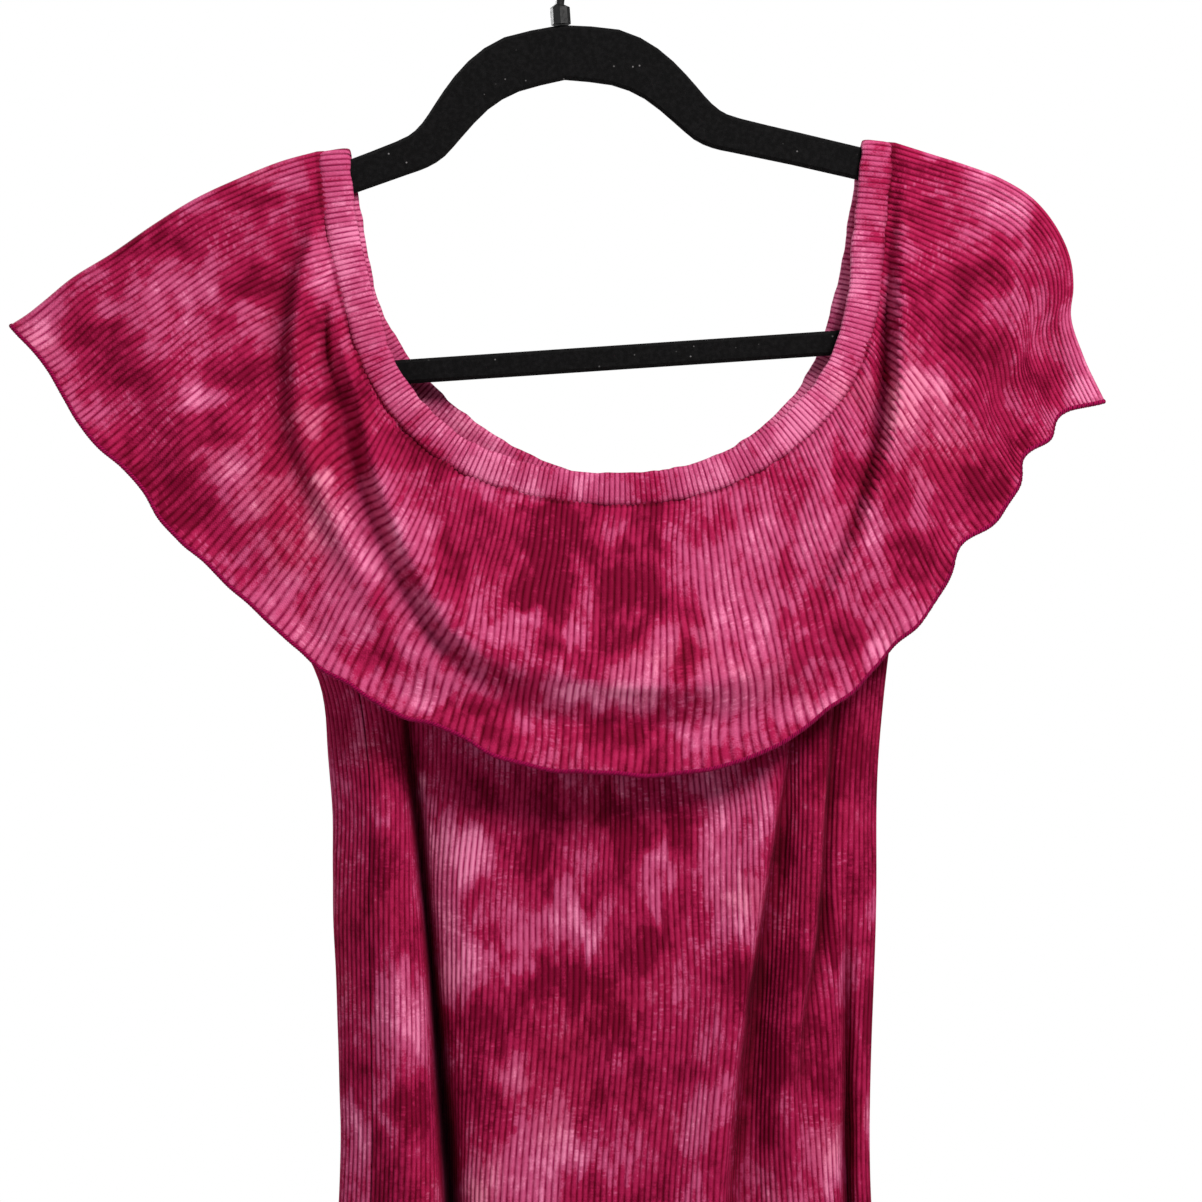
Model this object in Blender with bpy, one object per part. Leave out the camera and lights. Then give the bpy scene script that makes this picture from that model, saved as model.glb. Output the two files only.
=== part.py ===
"""An off-shoulder a-line dress of ribbed knit, hung on a flocked hanger with a trouser bar.

Lengths in the tables are millimetres. The origin is the inner top of the hanger's hook,
+X runs to the viewer's right, +Z up, and the front of the dress faces -Y. The cloth is a
plain wall inside, with its knit ribs raised on the outer points.
"""
import math

import bmesh
import bpy
import numpy as np

MM = 0.001

# Hanger
TILT = math.radians(3.85)
HANGER_THICK = 5.0
HANGER_EDGE = 1.5
ARM_WIDTH = 14.0
BAR_WIDTH = 11.0
BAR_BOTTOM = -231.5
END_CENTRE = (163.0, -206.0)
END_RADIUS = 55.0
CORNER_RADIUS = 25.5
HOOK_RADIUS = 20.5
WIRE_RADIUS = 2.0
COLLAR_RADIUS = 4.5
COLLAR_HEIGHT = 8.0
COLLAR_TAPER = 1.5
CROOK_START = -62.0
CROOK_END = 200.0
BEND_SHARE = 0.9
ARCH_TOP = -74.3

# Cloth
SEAM_GAP = 0.3
WALL = 1.2
RIB = 0.45
CASING_WIDTH = 14.5
CASING_THICK = 3.4
CASING_CROWN = 0.6
ROLL_RADIUS = 6.5
NECK_DEPTH = 16.0
FLOUNCE_SEAT = 0.15
BODY_SEAT = 2.05
NECK_CENTRE = (25.0, -200.0)

# Numbers of raised ribs, and rows of each panel
CASING_RIBS = {"front": 38, "back": 36}
CASING_ROWS = (0.0, 0.5, 1.0)
ROLL_STEPS = 6
FLOUNCE_RIBS = 56
FLOUNCE_ROWS = (0.0, 0.14, 0.3, 0.46, 0.62, 0.77, 0.9, 1.0)
BODY_RIBS = {"front": 44, "back": 46}
BODY_TOP_ROWS = (0.0, 0.3, 0.65)
BODY_DROPS = (348.0, 410.0, 490.0, 590.0, 710.0, 860.0, 1035.0)
FOLD_COLUMNS = (0.0, 0.0022, 0.005, 0.009, 0.014)

# How the flounce falls from its seam to its hem
FOLD_REACH = {"left": 0.30, "right": 0.22}
FALL_POWER = 0.85
BELLY = 6.0
HEM_FLIP = 3.0
FLIP_START = 0.9
SPREAD_START = 15.0
SPREAD_LENGTH = 150.0
SHOULDER_HUG = 55.0
FOLD_START = 0.12
FOLD_CLEAR = 24.0

# Half of the hanger, level: outer x, outer z, inner x, inner z
HANGER_ARCH = (
    (0.0, -74.3, 0.0, -99.0),
    (26.0, -78.1, 21.0, -102.8),
    (43.0, -87.8, 35.5, -110.0),
    (55.0, -100.5, 48.0, -121.5),
    (62.5, -110.5, 56.5, -129.8),
    (69.0, -117.5, 64.5, -134.2),
    (78.0, -121.9, 74.0, -137.0),
    (104.0, -130.0, 99.8, -144.2),
)

# Lower edge of the neck casing, where both panels are sewn: x, z
CASING_SEAM = {
    "front": (
        (-105.0, -131.4), (-103.2, -153.0), (-92.6, -203.0), (-80.6, -236.8),
        (-47.0, -273.0), (-16.7, -285.7), (16.3, -291.3), (50.7, -290.6),
        (85.0, -281.2), (115.4, -261.8), (136.2, -237.0), (147.4, -206.0),
        (151.2, -170.0), (155.7, -127.4),
    ),
    "back": (
        (-105.0, -131.4), (-100.2, -160.0), (-90.6, -206.0), (-73.5, -236.0),
        (-46.0, -262.0), (-16.0, -280.5), (16.3, -291.3), (50.0, -290.0),
        (84.0, -280.0), (112.0, -261.0), (131.5, -235.0), (142.0, -205.0),
        (149.2, -168.0), (155.7, -127.4),
    ),
}

# Shoulder folds, from the casing out to the tips of the flounce: x, z
SHOULDER_FOLD = {
    "left": (
        (-105.0, -131.4), (-136.0, -142.6), (-167.4, -159.3), (-200.5, -179.2),
        (-220.5, -194.0), (-231.0, -204.0), (-243.8, -209.8),
    ),
    "right": (
        (155.7, -127.4), (172.0, -132.6), (187.8, -137.6), (204.0, -143.8),
        (218.5, -153.0), (229.0, -166.0), (235.2, -180.5), (236.4, -193.0),
        (235.2, -204.5), (240.5, -222.5), (250.7, -244.2),
    ),
}

# Hem of the flounce from tip to tip: x, z
FLOUNCE_HEM = {
    "front": (
        (-243.8, -209.8), (-231.0, -223.0), (-205.4, -259.0), (-183.0, -282.0),
        (-170.0, -299.5), (-141.6, -328.3), (-115.4, -351.8), (-82.8, -374.9),
        (-45.2, -392.1), (-16.7, -404.3), (20.0, -410.4), (46.0, -411.6),
        (79.2, -405.7), (103.2, -396.6), (130.3, -376.7), (150.5, -358.0),
        (175.6, -326.5), (180.6, -313.5), (201.4, -295.2), (209.5, -283.0),
        (211.0, -272.0), (226.7, -260.5), (229.0, -252.5), (250.7, -244.2),
    ),
    "back": (
        (-243.8, -209.8), (-228.0, -221.0), (-204.0, -255.0), (-178.0, -283.0),
        (-150.0, -312.0), (-112.0, -346.0), (-78.0, -369.0), (-40.0, -389.0),
        (0.0, -402.0), (38.0, -407.0), (80.0, -400.0), (115.0, -384.0),
        (146.0, -356.0), (170.0, -326.0), (190.0, -298.0), (207.0, -271.0),
        (226.0, -251.0), (250.7, -244.2),
    ),
}

# How far the hem of the flounce stands from the middle plane: share along it, depth
HEM_DEPTH = (
    (0.0, 10.0), (0.12, 18.0), (0.3, 36.0), (0.5, 46.0), (0.7, 37.0), (0.88, 19.0), (1.0, 10.0),
)

# Folds of the flounce, each a line of rows: x, z, height, neck side, hem side
FLOUNCE_FOLDS = {
    "front": (
        ((-99.5, -160.0, 2.0, 6.0, 12.0), (-110.9, -203.0, 5.0, 8.0, 16.0),
         (-111.8, -231.0, 6.5, 9.0, 18.0), (-105.0, -266.0, 7.0, 10.0, 20.0),
         (-92.8, -298.0, 6.0, 10.0, 20.0), (-76.9, -327.4, 5.0, 11.0, 18.0),
         (-54.3, -352.3, 4.0, 12.0, 15.0), (-12.0, -373.0, 2.0, 14.0, 12.0)),
        ((-96.8, -206.6, 1.5, 6.0, 5.0), (-92.8, -231.0, 4.0, 7.0, 6.0),
         (-83.3, -269.5, 5.0, 9.0, 7.0), (-66.1, -298.0, 5.0, 11.0, 7.0),
         (-52.9, -322.9, 3.5, 12.0, 8.0), (-37.6, -345.5, 1.5, 12.0, 8.0)),
        ((153.0, -160.0, 2.0, 4.0, 14.0), (155.5, -181.0, 6.0, 5.0, 18.0),
         (154.5, -212.0, 8.5, 5.0, 22.0), (151.0, -254.0, 8.5, 6.0, 22.0),
         (139.4, -293.4, 7.0, 8.0, 20.0), (129.0, -322.9, 6.0, 10.0, 18.0),
         (118.6, -348.6, 5.5, 11.0, 15.0), (91.9, -370.4, 4.0, 12.0, 12.0),
         (60.0, -379.0, 2.0, 14.0, 12.0)),
        ((124.0, -268.0, 1.0, 9.0, 7.0), (122.2, -307.5, 3.5, 10.0, 7.0),
         (107.2, -345.5, 1.5, 12.0, 8.0)),
        ((-31.7, -356.8, 3.0, 20.0, 9.0), (22.6, -376.2, 5.0, 22.0, 9.0),
         (67.9, -378.0, 5.0, 20.0, 9.0), (104.0, -363.6, 2.0, 16.0, 9.0)),
        ((-22.0, -387.0, -1.5, 8.0, 7.0), (27.0, -393.5, -3.5, 8.0, 7.0),
         (72.0, -390.5, -1.5, 8.0, 7.0)),
        ((-190.0, -186.0, 1.5, 14.0, 16.0), (-172.0, -232.0, 4.0, 16.0, 18.0),
         (-142.0, -276.0, 3.0, 18.0, 18.0), (-112.0, -312.0, 1.0, 16.0, 16.0)),
        ((188.0, -172.0, 1.5, 14.0, 16.0), (196.0, -212.0, 4.0, 15.0, 12.0),
         (188.0, -256.0, 3.0, 14.0, 14.0), (168.0, -300.0, 1.0, 14.0, 14.0)),
        ((219.5, -192.0, -1.0, 8.0, 7.0), (226.0, -212.0, -4.0, 9.0, 7.0),
         (233.0, -238.0, -3.0, 9.0, 8.0)),
    ),
    "back": (
        ((-101.0, -165.0, 2.0, 7.0, 14.0), (-113.0, -212.0, 6.0, 9.0, 18.0),
         (-107.0, -262.0, 7.0, 10.0, 20.0), (-84.0, -312.0, 5.0, 12.0, 18.0),
         (-50.0, -345.0, 2.5, 14.0, 14.0)),
        ((154.0, -166.0, 2.0, 5.0, 14.0), (157.0, -205.0, 7.0, 7.0, 20.0),
         (151.0, -256.0, 7.5, 8.0, 20.0), (128.0, -316.0, 5.0, 10.0, 18.0),
         (92.0, -354.0, 2.5, 13.0, 14.0)),
        ((-30.0, -349.0, 2.0, 18.0, 10.0), (22.0, -369.0, 4.5, 20.0, 10.0),
         (78.0, -362.0, 2.0, 18.0, 10.0)),
        ((-184.0, -184.0, 1.0, 14.0, 16.0), (-166.0, -238.0, 3.5, 17.0, 17.0),
         (-132.0, -286.0, 2.0, 16.0, 16.0)),
        ((192.0, -176.0, 1.0, 14.0, 16.0), (194.0, -224.0, 4.0, 15.0, 15.0),
         (176.0, -278.0, 2.0, 14.0, 14.0)),
    ),
}

# Outline of the body: drop below the hook, left x, right x, half depth, left seam x
BODY_SECTIONS = (
    (348.0, -115.0, 154.0, 20.0, -94.0),
    (372.0, -103.5, 151.0, 22.0, -86.0),
    (405.0, -99.5, 148.0, 24.0, -81.0),
    (470.0, -97.3, 147.0, 26.0, -80.5),
    (607.0, -95.0, 144.8, 28.0, -80.0),
    (700.0, -104.0, 154.0, 31.0, -88.0),
    (860.0, -135.0, 185.0, 36.0, -112.0),
    (1035.0, -172.0, 222.0, 42.0, -140.0),
)
BODY_SQUARENESS = 2.5
EDGE_FADE = 14
FOLD_ONSET = 50.0

# Folds of the body, each a line of rows: drop, x, height, left width, right width
BODY_FOLDS = {
    "front": (
        ((372.0, -78.0, 7.5, 15.0, 7.0), (432.0, -74.0, 9.0, 15.0, 7.0),
         (510.0, -68.5, 10.0, 17.0, 7.0), (607.0, -62.0, 11.0, 19.0, 8.0),
         (760.0, -68.0, 13.0, 26.0, 13.0), (1035.0, -92.0, 15.0, 32.0, 22.0)),
        ((372.0, -62.5, -7.0, 4.5, 9.0), (432.0, -57.5, -8.5, 4.5, 10.0),
         (510.0, -50.5, -10.0, 5.5, 11.0), (607.0, -42.5, -11.0, 7.0, 13.0),
         (760.0, -36.0, -11.0, 14.0, 18.0), (1035.0, -38.0, -11.0, 22.0, 26.0)),
        ((400.0, -2.0, -1.0, 24.0, 24.0), (475.0, -6.0, -5.0, 20.0, 24.0),
         (540.0, -2.0, -3.0, 22.0, 26.0), (660.0, 14.0, 3.0, 26.0, 24.0),
         (820.0, 14.0, 9.0, 26.0, 24.0), (1035.0, 12.0, 13.0, 30.0, 28.0)),
        ((385.0, 107.0, 3.0, 12.0, 6.0), (435.0, 98.0, 5.0, 13.0, 6.5),
         (490.0, 88.5, 6.0, 14.0, 6.5), (546.0, 79.5, 7.0, 16.0, 8.0),
         (607.0, 73.5, 7.0, 18.0, 9.0), (760.0, 74.0, 9.0, 20.0, 16.0),
         (1035.0, 82.0, 12.0, 26.0, 24.0)),
        ((450.0, 108.0, -1.0, 7.0, 7.0), (529.0, 93.0, -5.0, 7.0, 8.0),
         (607.0, 91.0, -7.0, 9.0, 9.0), (760.0, 106.0, -9.0, 14.0, 14.0),
         (1035.0, 122.0, -11.0, 22.0, 20.0)),
        ((380.0, 125.5, 5.0, 9.0, 5.0), (435.0, 120.0, 6.0, 9.0, 5.0),
         (490.0, 115.8, 6.0, 8.0, 5.5), (528.0, 109.5, 5.0, 8.0, 7.0),
         (607.0, 113.0, 4.0, 9.0, 9.0), (760.0, 130.0, 7.0, 14.0, 12.0),
         (1035.0, 160.0, 11.0, 20.0, 16.0)),
        ((480.0, 134.0, -1.5, 5.0, 4.5), (520.0, 134.6, -6.0, 5.5, 4.5),
         (607.0, 134.6, -7.0, 6.0, 5.0), (760.0, 149.0, -6.0, 9.0, 8.0),
         (1035.0, 190.0, -6.0, 12.0, 10.0)),
    ),
    "back": (
        ((372.0, 96.0, 4.0, 12.0, 10.0), (520.0, 88.0, 8.0, 15.0, 10.0),
         (760.0, 96.0, 11.0, 22.0, 16.0), (1035.0, 118.0, 14.0, 30.0, 24.0)),
        ((420.0, 70.0, -3.0, 10.0, 8.0), (560.0, 62.0, -8.0, 12.0, 9.0),
         (780.0, 58.0, -10.0, 18.0, 16.0), (1035.0, 62.0, -11.0, 24.0, 22.0)),
        ((380.0, 24.0, 2.0, 22.0, 20.0), (560.0, 20.0, 5.0, 22.0, 20.0),
         (800.0, 16.0, 9.0, 24.0, 24.0), (1035.0, 12.0, 13.0, 28.0, 28.0)),
        ((400.0, -28.0, -2.0, 10.0, 12.0), (560.0, -30.0, -7.0, 10.0, 14.0),
         (780.0, -34.0, -10.0, 16.0, 18.0), (1035.0, -40.0, -11.0, 24.0, 24.0)),
        ((372.0, -58.0, 4.0, 12.0, 10.0), (520.0, -54.0, 8.0, 14.0, 9.0),
         (760.0, -66.0, 11.0, 20.0, 16.0), (1035.0, -94.0, 14.0, 28.0, 24.0)),
    ),
}
ARMHOLE = (0.17, 0.83)

COLOURS = {
    "knit": (0.52, 0.055, 0.17, 1.0),
    "casing": (0.50, 0.06, 0.17, 1.0),
    "flock": (0.012, 0.012, 0.014, 1.0),
    "hook": (0.03, 0.03, 0.03, 1.0),
}


# Scene and materials
def clear_scene():
    for item in list(bpy.context.scene.objects):
        bpy.data.objects.remove(item, do_unlink=True)


def finish(name, colour, roughness, metallic=0.0):
    material = bpy.data.materials.new(name)
    material.use_nodes = True
    shader = material.node_tree.nodes["Principled BSDF"]
    shader.inputs["Base Color"].default_value = colour
    shader.inputs["Roughness"].default_value = roughness
    shader.inputs["Metallic"].default_value = metallic
    material.diffuse_color = colour
    return material


# Curves and profiles
def hermite(knots, values, query):
    """Values read along a smooth curve through the rows of a table."""
    knots = np.asarray(knots, float)
    values = np.asarray(values, float)
    query = np.clip(np.asarray(query, float), knots[0], knots[-1])
    slopes = np.gradient(values, knots, axis=0)
    row = np.clip(np.searchsorted(knots, query, side="right") - 1, 0, len(knots) - 2)
    step = knots[row + 1] - knots[row]
    part = (query - knots[row]) / step
    if values.ndim > 1:
        step = step[..., None]
        part = part[..., None]
    rise = part * part * (3.0 - 2.0 * part)
    return (
        values[row] * (1.0 - rise)
        + values[row + 1] * rise
        + slopes[row] * step * part * (1.0 - part) ** 2
        - slopes[row + 1] * step * part * part * (1.0 - part)
    )


def smoothstep(value):
    part = np.clip(value, 0.0, 1.0)
    return part * part * (3.0 - 2.0 * part)


class Line:
    """A smooth line through a table's points, read by the share of its length."""

    def __init__(self, points, count=1200):
        points = np.asarray(points, float)
        steps = np.linalg.norm(np.diff(points, axis=0), axis=1)
        chord = np.concatenate([[0.0], np.cumsum(steps)])
        self.points = hermite(chord, points, np.linspace(0.0, chord[-1], count))
        steps = np.linalg.norm(np.diff(self.points, axis=0), axis=1)
        self.reach = np.concatenate([[0.0], np.cumsum(steps)])
        self.length = self.reach[-1]

    def at(self, share):
        place = np.asarray(share) * self.length
        return np.stack([np.interp(place, self.reach, axis) for axis in self.points.T], axis=-1)

    def inward(self, share):
        """The unit direction across the line, towards the neck opening."""
        ahead = self.at(np.clip(share + 0.002, 0.0, 1.0))
        behind = self.at(np.clip(share - 0.002, 0.0, 1.0))
        along = ahead - behind
        along /= np.linalg.norm(along, axis=-1, keepdims=True)
        return np.stack([-along[..., 1], along[..., 0]], axis=-1)

    def distance(self, points):
        """How far each point lies from the line, in the plane of the hanger."""
        flat = points.reshape(-1, 1, 2)
        start = self.points[None, :-1]
        run = np.diff(self.points, axis=0)[None]
        part = ((flat - start) * run).sum(axis=-1) / (run * run).sum(axis=-1)
        foot = start + run * np.clip(part, 0.0, 1.0)[..., None]
        return np.linalg.norm(flat - foot, axis=-1).min(axis=1).reshape(points.shape[:-1])


def roll(distance, radius=ROLL_RADIUS):
    """0 on a fold's edge and 1 beyond its radius, as a quarter circle."""
    part = 1.0 - np.clip(distance / radius, 0.0, 1.0)
    return np.sqrt(np.clip(1.0 - part * part, 0.0, 1.0))


def plane_folds(points, folds):
    """Height that a panel's folds add at points of the hanger's plane."""
    flat = points.reshape(-1, 2)
    total = np.zeros(len(flat))
    centre = np.array(NECK_CENTRE)
    for rows in folds:
        line = Line([row[:2] for row in rows], count=60)
        table = np.asarray(rows, float)
        steps = np.linalg.norm(np.diff(table[:, :2], axis=0), axis=1)
        chord = np.concatenate([[0.0], np.cumsum(steps)])
        sizes = hermite(chord, table[:, 2:], np.linspace(0.0, chord[-1], 60))
        gaps = np.linalg.norm(flat[:, None] - line.points[None], axis=-1)
        near = gaps.argmin(axis=1)
        gap = gaps[np.arange(len(flat)), near]
        towards = ((flat - line.points[near]) * (centre - line.points[near])).sum(axis=1) > 0.0
        width = np.where(towards, sizes[near, 1], sizes[near, 2])
        total += sizes[near, 0] * np.exp(-((gap / width) ** 2))
    return total.reshape(points.shape[:-1])


# Meshes
def mesh_object(name, points, faces, material):
    mesh = bpy.data.meshes.new(name)
    mesh.from_pydata([tuple(point) for point in np.asarray(points) * MM], [], faces)
    mesh.materials.append(material)
    shape = bmesh.new()
    shape.from_mesh(mesh)
    bmesh.ops.recalc_face_normals(shape, faces=shape.faces)
    shape.to_mesh(mesh)
    shape.free()
    mesh.shade_smooth()
    mesh.set_sharp_from_angle(angle=math.radians(50))
    piece = bpy.data.objects.new(name, mesh)
    bpy.context.scene.collection.objects.link(piece)
    return piece


def grid_normals(grid, closed, facing):
    """Unit normals of a grid of points, on the side that `facing` asks for."""
    if closed:
        across = np.roll(grid, -1, axis=1) - np.roll(grid, 1, axis=1)
    else:
        across = np.gradient(grid, axis=1)
    down = np.gradient(grid, axis=0)
    normals = np.cross(across, down)
    normals /= np.linalg.norm(normals, axis=-1, keepdims=True)
    return normals * facing


def ribbed_wall(name, outer, normals, thickness, material, closed=False):
    """A wall with a rib raised on every second column, over a plain inside."""
    rows, columns = outer.shape[:2]
    thick = np.broadcast_to(thickness, (rows, 1))[:, None]
    inner = outer - normals * thick
    raised = outer.copy()
    raised[:, 1::2] += normals[:, 1::2] * RIB
    points = np.concatenate([raised.reshape(-1, 3), inner.reshape(-1, 3)])
    faces = []

    def at(row, column, deep=False):
        return deep * rows * columns + row * columns + column % columns

    def two_triangles(first, second, third, fourth):
        faces.append((first, second, third))
        faces.append((first, third, fourth))

    spans = range(columns if closed else columns - 1)
    for column in spans:
        for row in range(rows - 1):
            two_triangles(
                at(row, column), at(row, column + 1), at(row + 1, column + 1), at(row + 1, column),
            )
            first, second, third, fourth = (
                at(row, column, True), at(row, column + 1, True),
                at(row + 1, column + 1, True), at(row + 1, column, True),
            )
            faces.append((third, second, first))
            faces.append((fourth, third, first))
        two_triangles(
            at(0, column), at(0, column, True), at(0, column + 1, True), at(0, column + 1),
        )
        last = rows - 1
        two_triangles(
            at(last, column + 1), at(last, column + 1, True), at(last, column, True),
            at(last, column),
        )
    if not closed:
        last = columns - 1
        for row in range(rows - 1):
            two_triangles(at(row, 0), at(row + 1, 0), at(row + 1, 0, True), at(row, 0, True))
            two_triangles(
                at(row, last, True), at(row + 1, last, True), at(row + 1, last), at(row, last),
            )
    return mesh_object(name, points, faces, material)


# Hanger
def hanger_stations():
    """Outer and inner points of one half, from the arch round to the middle of the bar."""
    table = np.asarray(HANGER_ARCH, float)
    fine = np.linspace(0.0, len(table) - 1.0, 2 * len(table) - 1)
    stations = [tuple(row) for row in hermite(np.arange(len(table)), table, fine)]
    slope = math.atan2(table[-2][1] - table[-1][1], table[-1][0] - table[-2][0])
    start = math.degrees(math.pi / 2.0 - slope)
    for step in range(6):
        angle = math.radians(start * (1.0 - step / 5.0))
        width = ARM_WIDTH + (BAR_WIDTH - ARM_WIDTH) * step / 5.0
        reach = (END_RADIUS, END_RADIUS - width)
        stations.append(tuple(
            value
            for radius in reach
            for value in (
                END_CENTRE[0] + radius * math.cos(angle),
                END_CENTRE[1] + radius * math.sin(angle),
            )
        ))
    corner = END_CENTRE[0] + END_RADIUS - CORNER_RADIUS
    for step in range(1, 5):
        angle = -math.pi / 2.0 * step / 4.0
        stations.append(tuple(
            value
            for radius in (CORNER_RADIUS, CORNER_RADIUS - BAR_WIDTH)
            for value in (
                corner + radius * math.cos(angle), END_CENTRE[1] + radius * math.sin(angle),
            )
        ))
    for share in (0.66, 0.33, 0.0):
        stations.append((corner * share, BAR_BOTTOM, corner * share, BAR_BOTTOM + BAR_WIDTH))
    return stations


def build_hanger(material):
    half = hanger_stations()
    mirrored = [(-a, b, -c, d) for a, b, c, d in half[-2:0:-1]]
    stations = np.asarray(half + mirrored)
    side = HANGER_THICK / 2.0
    flank = side - HANGER_EDGE
    profile = (
        (0.0, -flank), (HANGER_EDGE, -side), (-HANGER_EDGE, -side), (0.0, -flank),
        (0.0, flank), (-HANGER_EDGE, side), (HANGER_EDGE, side), (0.0, flank),
    )
    points = []
    for outer_x, outer_z, inner_x, inner_z in stations:
        outer = np.array((outer_x, outer_z))
        inner = np.array((inner_x, inner_z))
        along = (inner - outer) / np.linalg.norm(inner - outer)
        for corner, (inset, y) in enumerate(profile):
            base = inner if corner in (2, 3, 4, 5) else outer
            place = base + along * inset
            points.append((place[0], y, place[1]))
    count = len(stations)
    faces = [
        (
            ring * 8 + corner, ring * 8 + (corner + 1) % 8,
            (ring + 1) % count * 8 + (corner + 1) % 8, (ring + 1) % count * 8 + corner,
        )
        for ring in range(count) for corner in range(8)
    ]
    piece = mesh_object("hanger", points, faces, material)
    piece.rotation_euler = (0.0, -TILT, 0.0)
    return piece


def hook_route():
    """Centre line of the wire, with its radius: the stem, a bend and the open crook."""
    stem = ARCH_TOP + COLLAR_HEIGHT + COLLAR_TAPER
    route = [
        (0.0, ARCH_TOP + SEAM_GAP, COLLAR_RADIUS),
        (0.0, ARCH_TOP + COLLAR_HEIGHT, COLLAR_RADIUS),
        (0.0, stem, WIRE_RADIUS),
    ]
    crook_z = WIRE_RADIUS - HOOK_RADIUS
    start = math.radians(CROOK_START)
    end = math.radians(CROOK_END)
    entry = (HOOK_RADIUS * math.cos(start), crook_z + HOOK_RADIUS * math.sin(start))
    for step in range(1, 4):
        part = step / 4.0
        rise = part * part * (3.0 - 2.0 * part)
        route.append((entry[0] * rise * BEND_SHARE, stem + (entry[1] - stem) * part, WIRE_RADIUS))
    for step in range(21):
        angle = start + (end - start) * step / 20.0
        route.append((
            HOOK_RADIUS * math.cos(angle), crook_z + HOOK_RADIUS * math.sin(angle), WIRE_RADIUS,
        ))
    return route


def build_hook(material):
    route = hook_route()
    curve = bpy.data.curves.new("hook", "CURVE")
    curve.dimensions = "3D"
    curve.bevel_depth = MM
    curve.bevel_resolution = 2
    curve.use_fill_caps = True
    spline = curve.splines.new("POLY")
    spline.points.add(len(route) - 1)
    for point, (x, z, radius) in zip(spline.points, route):
        point.co = (x * MM, 0.0, z * MM, 1.0)
        point.radius = radius
    curve.materials.append(material)
    piece = bpy.data.objects.new("hook", curve)
    bpy.context.scene.collection.objects.link(piece)
    piece.rotation_euler = (0.0, -TILT, 0.0)
    return piece


# Neck casing
def seam_spread(distance):
    """Depth of the seam line, by the distance down from the hanger's arm."""
    return ROLL_RADIUS + (NECK_DEPTH - ROLL_RADIUS) * smoothstep(
        (distance - SPREAD_START) / SPREAD_LENGTH
    )


def casing_depth(distance):
    """Depth of the casing's outer face, rolled over the hanger's arm."""
    return roll(distance) * seam_spread(distance)


def casing_shares(line, ribs):
    """Places of the columns along one half, close together over the hanger's arms."""
    turns = np.linspace(0.0, math.pi / 2.0, ROLL_STEPS + 1)
    start = ROLL_RADIUS * (1.0 - np.cos(turns)) / line.length
    middle = np.linspace(start[-1], 1.0 - start[-1], 2 * ribs + 1)
    return np.concatenate([start[:-1], middle, (1.0 - start[::-1])[1:]])


def casing_half(side):
    """Points of the outer face of one half, from the seam edge to the neck edge."""
    line = Line(CASING_SEAM[side])
    shares = casing_shares(line, CASING_RIBS[side])
    facing = -1.0 if side == "front" else 1.0
    edge = line.at(shares)
    inward = line.inward(shares)
    down = np.minimum(shares, 1.0 - shares) * line.length
    depth = casing_depth(down) * facing
    rows = []
    for part in CASING_ROWS:
        place = edge + inward * CASING_WIDTH * part
        rows.append(np.stack([place[:, 0], depth, place[:, 1]], axis=-1))
    return np.array(rows)


def build_casing(material):
    front = casing_half("front")
    back = casing_half("back")
    loop = np.concatenate([front, back[:, -2:0:-1]], axis=1)
    for column, end in ((0, 0), (front.shape[1] - 1, -1)):
        loop[:, column] = (front[:, end] + back[:, end]) / 2.0
    normals = grid_normals(loop, closed=True, facing=1.0)
    if normals[1, 0, 2] < 0.0:
        normals = -normals
    crown = np.array([CASING_CROWN, 0.0, CASING_CROWN])[:, None, None]
    outer = loop - normals * crown
    thickness = (CASING_THICK - 2.0 * crown[:, :, 0])
    return ribbed_wall("neck_casing", outer, normals, thickness, material, closed=True)


# Flounce
def flounce_point(side, share, part):
    """Outer points of the flounce: share across from tip to tip, part down from the seam."""
    seam = Line(CASING_SEAM[side])
    hem = Line(FLOUNCE_HEM[side])
    share_grid, part_grid = np.meshgrid(share, part)
    top = seam.at(share) - seam.inward(share) * SEAM_GAP
    low = hem.at(share)
    place = top[None] * (1.0 - part_grid[..., None]) + low[None] * part_grid[..., None]
    from_fold = {"left": share_grid, "right": 1.0 - share_grid}
    folds = {end: Line(SHOULDER_FOLD[end]) for end in ("left", "right")}
    for end, fold in folds.items():
        line = fold.at(part)
        chord = fold.points[:1] + (fold.points[-1:] - fold.points[:1]) * np.asarray(part)[:, None]
        weight = 1.0 - smoothstep(from_fold[end] / FOLD_REACH[end])
        place = place + weight[..., None] * (line - chord)[:, None]
    away = np.minimum(folds["left"].distance(place), folds["right"].distance(place))
    down = np.minimum(share, 1.0 - share) * seam.length
    hem_table = np.asarray(HEM_DEPTH)
    hem_depth = hermite(hem_table[:, 0], hem_table[:, 1], share)
    fall = part_grid ** FALL_POWER
    depth = seam_spread(down)[None] * (1.0 - fall) + hem_depth[None] * fall
    belly = 4.0 * part_grid * (1.0 - part_grid)
    depth = depth + BELLY * belly * np.sin(math.pi * share_grid) ** 2
    loose = smoothstep(away / SHOULDER_HUG)
    depth = ROLL_RADIUS + (depth - ROLL_RADIUS) * loose
    settled = smoothstep(part_grid / FOLD_START) * smoothstep(away / FOLD_CLEAR)
    depth = depth + settled * plane_folds(place, FLOUNCE_FOLDS[side])
    flip = smoothstep((part_grid - FLIP_START) / (1.0 - FLIP_START))
    depth = depth + HEM_FLIP * flip * loose
    depth = (depth - FLOUNCE_SEAT) * roll(away) + SEAM_GAP / 2.0
    facing = -1.0 if side == "front" else 1.0
    return np.stack([place[..., 0], facing * depth, place[..., 1]], axis=-1)


def flounce_shares():
    ends = np.asarray(FOLD_COLUMNS)
    count = 2 * FLOUNCE_RIBS + 3 - 2 * len(ends)
    middle = np.linspace(ends[-1], 1.0 - ends[-1], count)
    return np.concatenate([ends[:-1], middle, 1.0 - ends[-2::-1]])


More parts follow.
